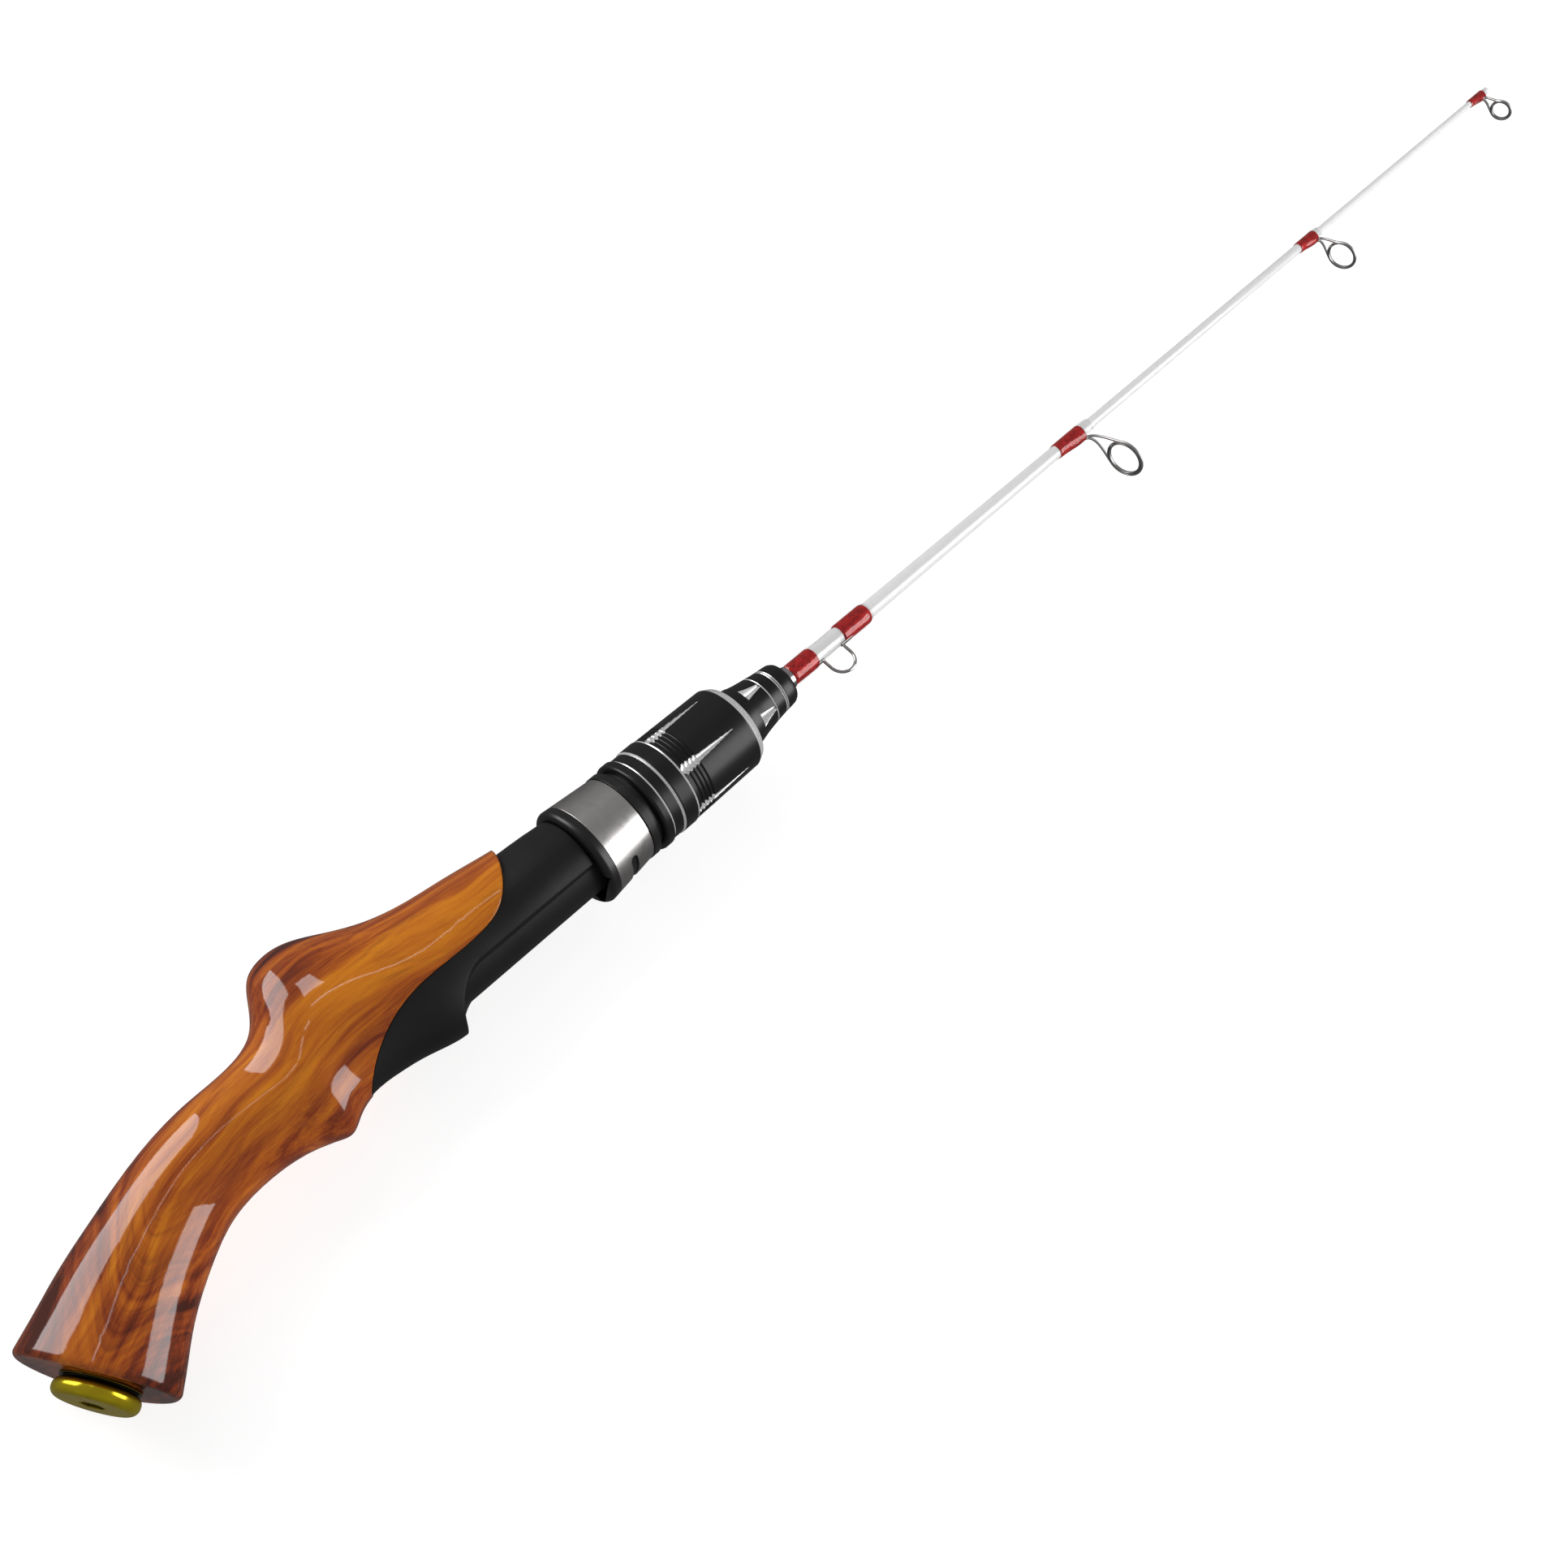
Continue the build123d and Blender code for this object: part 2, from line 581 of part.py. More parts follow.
blank_tip = turned([
    (TIP_X[0], 0), (TIP_X[0], TIP_R[0]), (TIP_X[1] - TIP_ROUND, TIP_R[1]),
    (TIP_X[1], TIP_R[1] - TIP_ROUND), (TIP_X[1], 0),
])
save(blank_tip, "blank_tip")

base_plug = turned([
    (BASE_REAR_X - BASE_PLUG_HEAD, 0), (BASE_REAR_X - BASE_PLUG_HEAD, BASE_R[0]),
    (BASE_REAR_X - GLUE_GAP, BASE_R[0]), (BASE_REAR_X - GLUE_GAP, BASE_BORE_R - GLUE_GAP),
    (BASE_REAR_X + BASE_PLUG_LENGTH, BASE_BORE_R - GLUE_GAP), (BASE_REAR_X + BASE_PLUG_LENGTH, 0),
])
save(base_plug, "base_plug")

for label, x_range in zip(("rear_arbor", "front_arbor"), ARBOR_X):
    arbor = tube(x_range, base_radius(x_range[0]) + GLUE_GAP, BARREL_BORE_R - GLUE_GAP)
    save(arbor, label)

winding_check = tube(CHECK_X, base_radius(CHECK_X[0]) + GLUE_GAP, CHECK_R)
save(winding_check, "winding_check")

# ---------------------------------------------------------------- hook keeper

KEEPER_FOOT_Y = -(base_radius(KEEPER_FOOT_X[0]) + GLUE_GAP)

with BuildPart() as hook_keeper:
    rear_x = KEEPER_LOOP_X[0] + KEEPER_WIRE_R
    front_x = KEEPER_LOOP_X[1] - KEEPER_WIRE_R
    loop_r = (front_x - rear_x) / 2
    low_y = KEEPER_DEPTH_Y + KEEPER_WIRE_R
    start_y = KEEPER_FOOT_Y - KEEPER_FOOT_THICK / 2
    with BuildLine(Plane.XY) as loop_path:
        Line((rear_x, start_y), (rear_x, low_y + loop_r))
        ThreePointArc(
            (rear_x, low_y + loop_r), ((rear_x + front_x) / 2, low_y), (front_x, low_y + loop_r),
        )
        Line((front_x, low_y + loop_r), (front_x, start_y))
    with BuildSketch(Plane(origin=(rear_x, start_y, 0), x_dir=(1, 0, 0), z_dir=(0, -1, 0))):
        Circle(KEEPER_WIRE_R)
    sweep(path=loop_path.wires()[0])
    # flattened feet under the wraps
    for foot_x in ((KEEPER_FOOT_X[0], rear_x + KEEPER_WIRE_R), (front_x - KEEPER_WIRE_R, KEEPER_FOOT_X[1])):
        with Locations(((foot_x[0] + foot_x[1]) / 2, KEEPER_FOOT_Y, 0)):
            Box(
                foot_x[1] - foot_x[0], KEEPER_FOOT_THICK, KEEPER_FOOT_WIDTH,
                align=(Align.CENTER, Align.MAX, Align.CENTER),
            )
save(hook_keeper, "hook_keeper")


def wrap_body(x_range, inner_r, outer_r, bulge, clearance_of):
    """A wound or coated ring that bulges over a foot on the reel side, cut clear of that foot."""
    with BuildPart() as body:
        with BuildSketch(Plane.YZ.offset(x_range[0])):
            with Locations((-bulge / 2, 0)):
                Ellipse(outer_r + bulge / 2, outer_r + bulge * BULGE_SIDE_SHARE)
            Circle(inner_r, mode=Mode.SUBTRACT)
        extrude(amount=x_range[1] - x_range[0])
        for piece in clearance_of:
            add(piece, mode=Mode.SUBTRACT)
    return body


for label, x_range in zip(("keeper_thread_rear", "keeper_thread_front"), KEEPER_WRAPS):
    inner_r = base_radius(x_range[0]) + GLUE_GAP
    outer_r = base_radius(x_range[1]) + KEEPER_THREAD
    thread = wrap_body(x_range, inner_r, outer_r, KEEPER_BULGE, [hook_keeper.part])
    save(thread, label)

# One clear coat runs over both wraps and the bare blank between them
with BuildPart() as keeper_coat:
    rear_r = base_radius(KEEPER_WRAPS[0][0]) + KEEPER_THREAD + KEEPER_COAT
    front_r = base_radius(KEEPER_WRAPS[1][1]) + KEEPER_THREAD + KEEPER_COAT
    inner_r = base_radius(KEEPER_WRAPS[0][0]) + GLUE_GAP
    end_r = inner_r + KEEPER_COAT_END_LIFT
    sag_r = rear_r - KEEPER_COAT_SAG
    (rear_start, rear_end), (front_start, front_end) = KEEPER_WRAPS
    with BuildSketch(Plane.XY):
        with BuildLine():
            Polyline(
                (rear_start, inner_r), (rear_start, rear_r), (rear_end, rear_r),
                (rear_end + KEEPER_COAT_RAMP, sag_r), (front_start - KEEPER_COAT_RAMP, sag_r),
                (front_start, rear_r), (front_start + KEEPER_COAT_LEVEL, rear_r), (front_end, front_r),
                (front_end + KEEPER_COAT_END, end_r), (front_end + KEEPER_COAT_END, inner_r),
                close=True,
            )
        make_face()
    revolve(axis=Axis.X)
    for x_range in KEEPER_WRAPS:
        with BuildSketch(Plane.YZ.offset(x_range[0] - GLUE_GAP)):
            with Locations((-KEEPER_BULGE / 2, 0)):
                Ellipse(
                    base_radius(x_range[1]) + KEEPER_THREAD + KEEPER_BULGE / 2 + GLUE_GAP,
                    base_radius(x_range[1]) + KEEPER_THREAD + KEEPER_BULGE * BULGE_SIDE_SHARE + GLUE_GAP,
                )
        extrude(amount=x_range[1] - x_range[0] + 2 * GLUE_GAP, mode=Mode.SUBTRACT)
    add(hook_keeper.part, mode=Mode.SUBTRACT)
save(keeper_coat, "keeper_coat")

# ---------------------------------------------------------------- line guides


def guide_ring_plane(guide):
    """Plane through the middle of a guide's ring, which leans towards the tip."""
    lean = math.radians(guide["lean"])
    ring_x, ring_y = guide["ring"]
    return Plane(
        origin=(ring_x, ring_y, 0),
        x_dir=(-math.sin(lean), math.cos(lean), 0),
        z_dir=(math.cos(lean), math.sin(lean), 0),
    )


def guide_frame(guide):
    """One-foot wire frame: a flat foot, two legs that meet the ring's rim at a tangent, and the rim."""
    plane = guide_ring_plane(guide)
    rim_r, seat_r, _ = guide["radii"]
    foot_y = -(guide["blank_r"] + GLUE_GAP)
    foot_start = guide["wrap"][0] + GUIDE_FOOT_START
    leg_start = Vector(guide["foot_tip"] - GUIDE_LEG_START, foot_y - GUIDE_FOOT_THICK / 2, 0)
    centre_r = rim_r - GUIDE_WIRE_R
    reach = (leg_start - plane.origin).length
    tangent_angle = math.acos(centre_r / reach)
    with BuildPart() as body:
        with BuildSketch(plane.offset(-GUIDE_DEPTH / 2)):
            Circle(rim_r)
        extrude(amount=GUIDE_DEPTH)
        for side in (1, -1):
            leg_end = plane.from_local_coords(
                (centre_r * math.cos(tangent_angle), side * centre_r * math.sin(tangent_angle), 0),
            )
            leg = leg_end - leg_start
            with BuildSketch(Plane(origin=leg_start, z_dir=leg)):
                Circle(GUIDE_WIRE_R)
            extrude(amount=leg.length)
        with Locations(((foot_start + guide["foot_tip"]) / 2, foot_y, 0)):
            Box(
                guide["foot_tip"] - foot_start, GUIDE_FOOT_THICK, GUIDE_FOOT_WIDTH,
                align=(Align.CENTER, Align.MAX, Align.CENTER),
            )
        # seat for the ring, clear through the rim and the legs' ends
        with BuildSketch(plane.offset(-2 * GUIDE_DEPTH)):
            Circle(seat_r)
        extrude(amount=4 * GUIDE_DEPTH, mode=Mode.SUBTRACT)
        # keep the legs and the foot outside the blank
        with BuildSketch(Plane.YZ.offset(guide["wrap"][0])):
            Circle(guide["blank_r"] + GLUE_GAP)
        extrude(amount=REACH, mode=Mode.SUBTRACT)
    return body


for number, guide in enumerate(GUIDES, start=1):
    frame = guide_frame(guide)
    save(frame, f"guide_frame_{number}")

    _, seat_r, bore_r = guide["radii"]
    with BuildPart() as ring:
        with BuildSketch(guide_ring_plane(guide).offset(-GUIDE_DEPTH / 2)):
            Circle(seat_r - GLUE_GAP)
            Circle(bore_r, mode=Mode.SUBTRACT)
        extrude(amount=GUIDE_DEPTH)
    save(ring, f"guide_ring_{number}")

    inner_r = guide["blank_r"] + GLUE_GAP
    thread_r = inner_r + GUIDE_THREAD
    coat_r = thread_r + GUIDE_COAT
    foot_bulge = GUIDE_FOOT_THICK + THREAD_OVER_FOOT
    thread = wrap_body(guide["wrap"], inner_r, thread_r, foot_bulge, [frame.part])
    save(thread, f"guide_thread_{number}")

    coat_x = (guide["wrap"][0] - GUIDE_COAT_REAR, guide["coat_end"])
    with BuildPart() as thread_room:
        with BuildSketch(Plane.YZ.offset(guide["wrap"][0] - GLUE_GAP)):
            with Locations((-foot_bulge / 2, 0)):
                Ellipse(
                    thread_r + foot_bulge / 2 + GLUE_GAP,
                    thread_r + foot_bulge * BULGE_SIDE_SHARE + GLUE_GAP,
                )
        extrude(amount=guide["wrap"][1] - guide["wrap"][0] + 2 * GLUE_GAP)
    coat = wrap_body(coat_x, inner_r, coat_r, foot_bulge, [frame.part, thread_room.part])
    save(coat, f"guide_coat_{number}")
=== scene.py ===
import json
import math

import bpy
import numpy as np
from mathutils import Matrix, Vector


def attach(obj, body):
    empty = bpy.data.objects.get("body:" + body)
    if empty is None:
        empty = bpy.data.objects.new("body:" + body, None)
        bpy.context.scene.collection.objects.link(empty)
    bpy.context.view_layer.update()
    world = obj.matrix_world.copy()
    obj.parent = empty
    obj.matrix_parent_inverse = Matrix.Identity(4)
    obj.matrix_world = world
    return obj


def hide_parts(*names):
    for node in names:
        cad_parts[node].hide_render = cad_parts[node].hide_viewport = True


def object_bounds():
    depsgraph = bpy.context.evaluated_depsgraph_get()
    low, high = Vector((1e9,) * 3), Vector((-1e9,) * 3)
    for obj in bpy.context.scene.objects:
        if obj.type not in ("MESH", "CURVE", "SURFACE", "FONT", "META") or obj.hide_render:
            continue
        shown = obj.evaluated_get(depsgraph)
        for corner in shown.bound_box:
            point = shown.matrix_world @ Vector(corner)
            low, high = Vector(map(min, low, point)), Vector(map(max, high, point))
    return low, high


# The ice fishing rod, dressed for the studio. Lengths in the mesh code and in the materials are
# millimetres in the row frame, and become metres when a mesh is made.

MM = 0.001
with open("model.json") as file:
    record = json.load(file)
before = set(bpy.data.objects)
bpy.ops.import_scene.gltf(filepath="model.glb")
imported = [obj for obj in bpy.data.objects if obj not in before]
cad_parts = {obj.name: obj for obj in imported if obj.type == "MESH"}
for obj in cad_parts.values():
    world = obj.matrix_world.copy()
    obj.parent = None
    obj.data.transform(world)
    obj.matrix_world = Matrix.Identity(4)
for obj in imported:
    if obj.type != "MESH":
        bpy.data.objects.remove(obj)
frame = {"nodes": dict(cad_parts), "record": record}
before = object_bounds()
nodes = frame["nodes"]
scene = bpy.context.scene

# ---------------------------------------------------------------- driving values

GLUE_GAP = 0.05             # radial, between bonded pieces, as in the CAD
SMOOTH_ANGLE = 32.0         # degrees; sharper edges stay crisp
TURNED_SMOOTH_ANGLE = 40.0  # the same for the nut and the cone

# Nut: profile from its rear flange to its front edge, as (x, radius)
NUT_PROFILE = [
    (42.2, 11.65), (42.3, 12.05), (42.55, 12.38), (42.9, 12.5), (44.62, 12.5), (44.74, 12.44), (45.0, 11.85),
    (45.2, 12.0), (45.35, 12.05), (48.15, 12.05), (48.28, 12.0), (48.5, 11.75), (48.72, 12.2), (48.85, 12.3),
    (52.9, 12.3), (53.05, 12.24), (53.25, 11.95), (53.45, 12.06), (53.6, 12.1), (75.45, 11.75),
    (75.6, 11.7), (77.2, 10.95), (77.5, 10.75),
]
NUT_BORE = [(77.5, 9.7), (75.6, 9.7), (75.6, 10.0), (61.05, 10.0), (61.05, 11.0), (42.2, 11.0)]
NUT_RING_SPACING = [(43.2, 53.0, 0.6), (53.7, 60.0, 0.1), (60.0, 72.0, 0.3), (72.0, 75.4, 0.6)]
NUT_STEPS = 600
NUT_LINES = (45.0, 48.5, 53.25)
NUT_LINE_HALF_WIDTH = 0.27
NUT_CHAMFER_X = 75.58
FLUTE_COUNT = 6
FLUTE_PHASE = 52.0
FLUTE_X = (54.6, 71.6)
FLUTE_HALF_WIDTH = 1.15
FLUTE_DEPTH = 0.6
FLUTE_TAPER = 0.85          # power by which a flute narrows towards the front
FLUTE_SHALLOWING = 0.6      # power by which its depth follows its width
RIB_X = (54.75, 56.0, 57.25, 58.5)
RIB_HALF_WIDTH = 0.44
RIB_DEPTH = 0.38
SCALLOP = 0.55              # widening of the flutes at each rib
CUT_OVER_RIB = 0.6          # a flute is left bright where it is deeper than this share of the rib
NUT_CUT_DEPTH = 0.02        # least depth of a bright cut

# Cone in front of the nut
CONE_PROFILE = [(77.4, 8.54), (80.4, 8.24), (84.0, 7.44), (87.3, 6.89), (90.2, 6.48), (93.8, 6.13)]
CONE_NOSE = [(95.0, 5.98), (95.7, 5.6), (96.05, 5.0), (96.1, 4.6)]
CONE_INSIDE = [(96.1, 2.62), (67.0, 2.62), (67.0, 6.45), (77.4, 6.45)]
CONE_LINES = (87.4, 91.05, 91.65)
CONE_STEPS = 480
CONE_RINGS = 60
CONE_LINE_HALF_WIDTH = 0.13
CONE_GROOVE_HALF_WIDTH = 0.22
CONE_GROOVE_DEPTH = 0.16
CONE_CUT_DEPTH = 0.015
NOTCH_X = (81.6, 87.05)
NOTCH_PHASE = 20.0
NOTCH_FLOOR_R = 6.4
NOTCH_SLOPE = 0.82
NOTCH_RING_MARGIN = (0.1, 0.4)
NOTCH_RING_SPACING = 0.1
RING_TOLERANCE = 0.01

# Blank and wraps
BASE_ENDS = ((96.0, 2.47), (223.7, 1.8))
KEEPER_WRAPS = {"keeper_thread_rear": (98.3, 107.4), "keeper_thread_front": (117.4, 127.9)}
KEEPER_THREAD = 0.34
KEEPER_BULGE = 0.16
KEEPER_ENDS = (0.6, 0.9)    # length over which the rear and the front end round off
KEEPER_STEPS = 128
KEEPER_COAT_FULL = 0.60     # lift of the coat over the thread
KEEPER_COAT_BARE = 0.34     # lift of the coat over the bare blank
KEEPER_COAT_SHOULDER = 0.58
KEEPER_COAT_BULGE = 0.14
KEEPER_COAT_RINGS = 110
GUIDES = {
    1: {"wrap": (208.6, 219.6), "foot_tip": 219.4, "ring": (222.4, -14.4), "radii": (5.9, 5.25, 4.6),
        "lean": 5.0, "blank_r": 1.89, "coat_end": 223.2, "body": "handle"},
    2: {"wrap": (328.8, 337.4), "foot_tip": 337.2, "ring": (337.9, -10.7), "radii": (4.8, 4.3, 3.85),
        "lean": 7.0, "blank_r": 1.45, "coat_end": 339.2, "body": "middle_section"},
    3: {"wrap": (429.1, 437.1), "foot_tip": 435.5, "ring": (435.9, -8.5), "radii": (3.7, 3.15, 2.65),
        "lean": 10.0, "blank_r": 1.03, "coat_end": 438.1, "body": "tip_section"},
}
GUIDE_WIRE_R = 0.39
GUIDE_WIRE_STEPS = 14
GUIDE_FOOT_TAPER = 0.2
GUIDE_FOOT_POINTS = 6
GUIDE_LEG_POINTS = 18
GUIDE_HOOP_POINTS = 72
FOOT_INSET = (1.2, 0.4)     # from the wrap's rear end, and from the foot's tip
FOOT_HALF_GAP = 0.95        # between the two feet, as a share of the wire's radius
LEG_TANGENT_SHARE = 0.92    # of the angle at which a straight leg would touch the hoop
LEG_LEAVES = (1.0, -0.25, 0.0)  # direction in which a leg leaves its foot
LEG_PULL = 1.1
RIM_DEPTH, RIM_THICKNESS = 0.9, 0.4
RIM_STEPS = 96
RING_DEPTH = 1.0
RING_STEPS = 120
RING_POWER = 3              # of the superellipse that rounds the ring's section
SECTION_POINTS = 12
GUIDE_THREAD = 0.17
GUIDE_THREAD_ENDS = (0.5, 0.3)
GUIDE_COAT = 0.33
GUIDE_COAT_ENDS = (0.8, 1.6)
GUIDE_COAT_OVERHANG = 0.4
GUIDE_WRAP_STEPS = 112
SLEEVE_RINGS = 64
WRAP_SINK = 0.10            # by which a wrap rises less than the wire under it is thick
COAT_EXTRA = 0.05           # by which its coat rises more
WRAP_EDGE = 0.02            # thickness left at the very ends of a wrap or coat
SWELL_START = 0.6
SWELL_RAMP = 0.75           # share of a swelling's length over which it rises
FOOT_FOCUS = 3              # power that keeps a swelling to the reel side

# Grip: the line that its grain follows, as (x, y)
GRAIN_LINE = [
    (-140, -23.0), (-126, -17.0), (-110, -9.0), (-92, -1.5), (-76, 1.0), (-62, 1.8), (-47, 5.0), (-30, 4.5),
    (-10, 2.0), (15, 1.0),
]
GRAIN_LINE_SPAN = (-30.0, 10.0)

# Colours from dark to light, as (share, linear RGB)
WOOD_TONES = [
    (0.30, (0.060, 0.008, 0.002)), (0.39, (0.250, 0.036, 0.003)), (0.47, (0.470, 0.105, 0.004)),
    (0.56, (0.680, 0.205, 0.005)), (0.68, (0.780, 0.300, 0.007)),
]
MINERAL_TONE = (0.075, 0.013, 0.003)
PORE_TONE = (0.10, 0.022, 0.006)
THREAD_TONES = [
    (0.36, (0.06, 0.001, 0.002)), (0.48, (0.38, 0.005, 0.006)), (0.66, (0.74, 0.022, 0.018)),
]
THREAD_PITCH = 0.24
BEVEL_SAMPLES = 6

# Studio; these lengths are in metres
CAMERA_LENS = 44.72         # millimetres, on the sensor below
CAMERA_SENSOR = 36.0
CAMERA_PLACE = Matrix((
    (0.67625, 0.59219, -0.43817, -0.13501),
    (-0.72214, 0.65045, -0.23544, -0.13318),
    (0.14559, 0.47564, 0.86751, 0.41567),
    (0.0, 0.0, 0.0, 1.0),
))
FLOOR_SIZE = 30.0
FLOOR_GAP = 0.0006
FLOOR_TONES = (0.44, 0.46)
FLOOR_GLOW = 0.78
# Strength of the world's light, from straight down to above the horizon
SKY_FADE = {"From Min": -0.5, "From Max": 0.25, "To Min": 0.11, "To Max": 0.25}
LIGHT_AIM = (-0.03, 0.0, 0.0)
# Each light's turn and rise in degrees, distance, width, height and radiance
SOFTBOXES = {
    "reel_side_softbox": (153.0, 43.0, 1.0, 0.66, 0.52, 5.2),
    "back_softbox": (28.0, -14.0, 1.0, 0.74, 0.60, 5.2),
    "back_small_softbox": (53.0, 12.0, 1.2, 0.30, 0.14, 5.0),
    "nose_strip": (70.0, 15.0, 1.3, 0.022, 0.24, 5.0),
    "butt_strip": (77.0, 6.0, 1.3, 0.022, 0.18, 5.5),
}


# ---------------------------------------------------------------- materials


class Graph:
    """A material's node tree, with short calls for the nodes it uses most."""

    def __init__(self, name):
        self.material = bpy.data.materials.new(name)
        self.material.use_nodes = True
        self.tree = self.material.node_tree
        self.tree.nodes.clear()
        self.out = self.add("ShaderNodeOutputMaterial")

    def add(self, kind, sockets=None, **settings):
        node = self.tree.nodes.new(kind)
        for name, value in settings.items():
            setattr(node, name, value)
        for name, value in (sockets or {}).items():
            self.put(node.inputs[name], value)
        return node

    def put(self, socket, value):
        if isinstance(value, bpy.types.NodeSocket):
            self.tree.links.new(value, socket)
        else:
            socket.default_value = value

    def math(self, operation, *values, clamp=False):
        node = self.add("ShaderNodeMath", operation=operation, use_clamp=clamp)
        for socket, value in zip(node.inputs, values):
            self.put(socket, value)
        return node.outputs[0]

    def mm(self):
        """x, y and z of the point on the piece, in millimetres."""
        place = self.add("ShaderNodeTexCoord").outputs["Object"]
        scaled = self.add("ShaderNodeVectorMath", {0: place, "Scale": 1 / MM}, operation="SCALE")
        split = self.add("ShaderNodeSeparateXYZ", {0: scaled.outputs[0]})
        return split.outputs[0], split.outputs[1], split.outputs[2]

    def noise(self, x, y, z, scales, detail=3.0, roughness=0.5, distortion=0.0):
        """Noise between 0 and 1 with its own scale along each direction."""
        parts = [self.math("MULTIPLY", value, scale) for value, scale in zip((x, y, z), scales)]
        place = self.add("ShaderNodeCombineXYZ", {0: parts[0], 1: parts[1], 2: parts[2]}).outputs[0]
        node = self.add("ShaderNodeTexNoise", {
            "Vector": place, "Scale": 1.0, "Detail": detail, "Roughness": roughness, "Distortion": distortion,
        })
        return node.outputs["Fac"]

    def ramp(self, value, stops):
        node = self.add("ShaderNodeValToRGB", {0: value})
        elements = node.color_ramp.elements
        while len(elements) < len(stops):
            elements.new(0.5)
        for element, (place, color) in zip(elements, stops):
            element.position = place
            element.color = (*color, 1.0)
        return node.outputs[0]

    def span(self, value, low, high):
        sockets = {"Value": value, "From Min": low, "From Max": high}
        node = self.add("ShaderNodeMapRange", sockets, interpolation_type="SMOOTHSTEP")
        return node.outputs[0]

    def curve(self, value, points, low, high):
        """A smooth curve through (value, result) points; results run from low to high."""
        first, last = points[0][0], points[-1][0]
        share = self.math("DIVIDE", self.math("SUBTRACT", value, first), last - first, clamp=True)
        node = self.add("ShaderNodeFloatCurve", {"Value": share})
        line = node.mapping.curves[0]
        while len(line.points) < len(points):
            line.points.new(0.5, 0.5)
        for point, (place, result) in zip(line.points, points):
            point.location = ((place - first) / (last - first), (result - low) / (high - low))
        node.mapping.update()
        return self.math("ADD", self.math("MULTIPLY", node.outputs[0], high - low), low)

    def mix(self, share, a, b):
        node = self.add("ShaderNodeMix", data_type="RGBA", clamp_factor=True)
        self.put(node.inputs[0], share)
        for socket, value in ((node.inputs[6], a), (node.inputs[7], b)):
            self.put(socket, value if isinstance(value, bpy.types.NodeSocket) else (*value, 1.0))
        return node.outputs[2]

    def bevel(self, radius_mm):
        return self.add("ShaderNodeBevel", {"Radius": radius_mm * MM}, samples=BEVEL_SAMPLES).outputs[0]

    def bump(self, height, distance_mm, strength, normal=None):
        sockets = {"Height": height, "Distance": distance_mm * MM, "Strength": strength}
        if normal is not None:
            sockets["Normal"] = normal
        return self.add("ShaderNodeBump", sockets).outputs[0]

    def shade(self, **sockets):
        """Finish with a Principled shader; names use underscores for spaces."""
        named = {name.replace("_", " "): value for name, value in sockets.items()}
        shader = self.add("ShaderNodeBsdfPrincipled")
        for name, value in named.items():
            if name == "Base Color" and isinstance(value, tuple):
                value = (*value, 1.0)
            self.put(shader.inputs[name], value)
        self.tree.links.new(shader.outputs[0], self.out.inputs[0])
        return self.material


def lacquered_wood():
    g = Graph("lacquered_wood")
    x, y, z = g.mm()
    centre = g.curve(x, GRAIN_LINE, *GRAIN_LINE_SPAN)
    across = g.math("SUBTRACT", y, centre)
    # slow drift of the grain, so that it wanders across the form
    drift = g.noise(x, across, z, (0.022, 0.05, 0.05), detail=2.0)
    drift = g.math("MULTIPLY", g.math("SUBTRACT", drift, 0.5), 15.0)
    grain = g.math("ADD", across, drift)
    # growth rings: nearly parallel along the handle, closing into a burl towards the butt
    burl = g.math("POWER", g.span(x, -88.0, -137.0), 1.3)
    flat_z = g.math("MULTIPLY", g.math("MULTIPLY", z, z), 0.22)
    square = g.math("ADD", g.math("MULTIPLY", grain, grain), flat_z)
    ring = g.math("ADD", g.math("SQRT", g.math("ADD", square, 3.0)), g.math("MULTIPLY", burl, 17.0))
    rings = g.noise(x, ring, z, (0.008, 0.26, 0.0), detail=3.0, roughness=0.55, distortion=0.3)
    streaks = g.noise(x, grain, z, (0.022, 0.32, 0.26), detail=5.0, roughness=0.6, distortion=0.35)
    fibres = g.noise(x, across, z, (0.10, 3.0, 2.6), detail=4.0, roughness=0.7)
    tone = g.math("ADD", g.math("MULTIPLY", rings, 0.46), g.math("MULTIPLY", streaks, 0.40))
    tone = g.math("ADD", tone, g.math("MULTIPLY", fibres, 0.17))
    # the flanks are redder than the middle, and the butt is darker than the nose
    edge = g.math("MULTIPLY", g.span(g.math("ABSOLUTE", across), 3.0, 15.0), 0.10)
    tone = g.math("SUBTRACT", tone, edge)
    tone = g.math("SUBTRACT", tone, g.math("MULTIPLY", g.span(x, -80.0, -132.0), 0.085))
    color = g.ramp(tone, WOOD_TONES)
    # dark mineral streaks, strongest in the burl
    mineral = g.noise(x, ring, z, (0.035, 0.34, 0.05), detail=5.0, roughness=0.65, distortion=0.9)
    weight = g.math("ADD", 0.30, g.math("MULTIPLY", g.span(x, -80.0, -112.0), 0.45))
    mineral = g.math("MULTIPLY", g.span(mineral, 0.50, 0.74), weight)
    color = g.mix(mineral, color, MINERAL_TONE)
    pores = g.noise(x, across, z, (0.5, 9.0, 9.0), detail=2.0)
    color = g.mix(g.math("MULTIPLY", g.span(pores, 0.60, 0.72), 0.22), color, PORE_TONE)
    rounded = g.bevel(0.8)
    flow = g.noise(x, y, z, (0.05, 0.05, 0.05), detail=1.0)
    lacquer = g.bump(flow, 0.10, 0.2, rounded)
    return g.shade(
        Base_Color=color, Roughness=0.5, Normal=rounded, Specular_IOR_Level=0.05,
        Coat_Weight=1.0, Coat_Roughness=0.018, Coat_IOR=1.5, Coat_Normal=lacquer,
    )


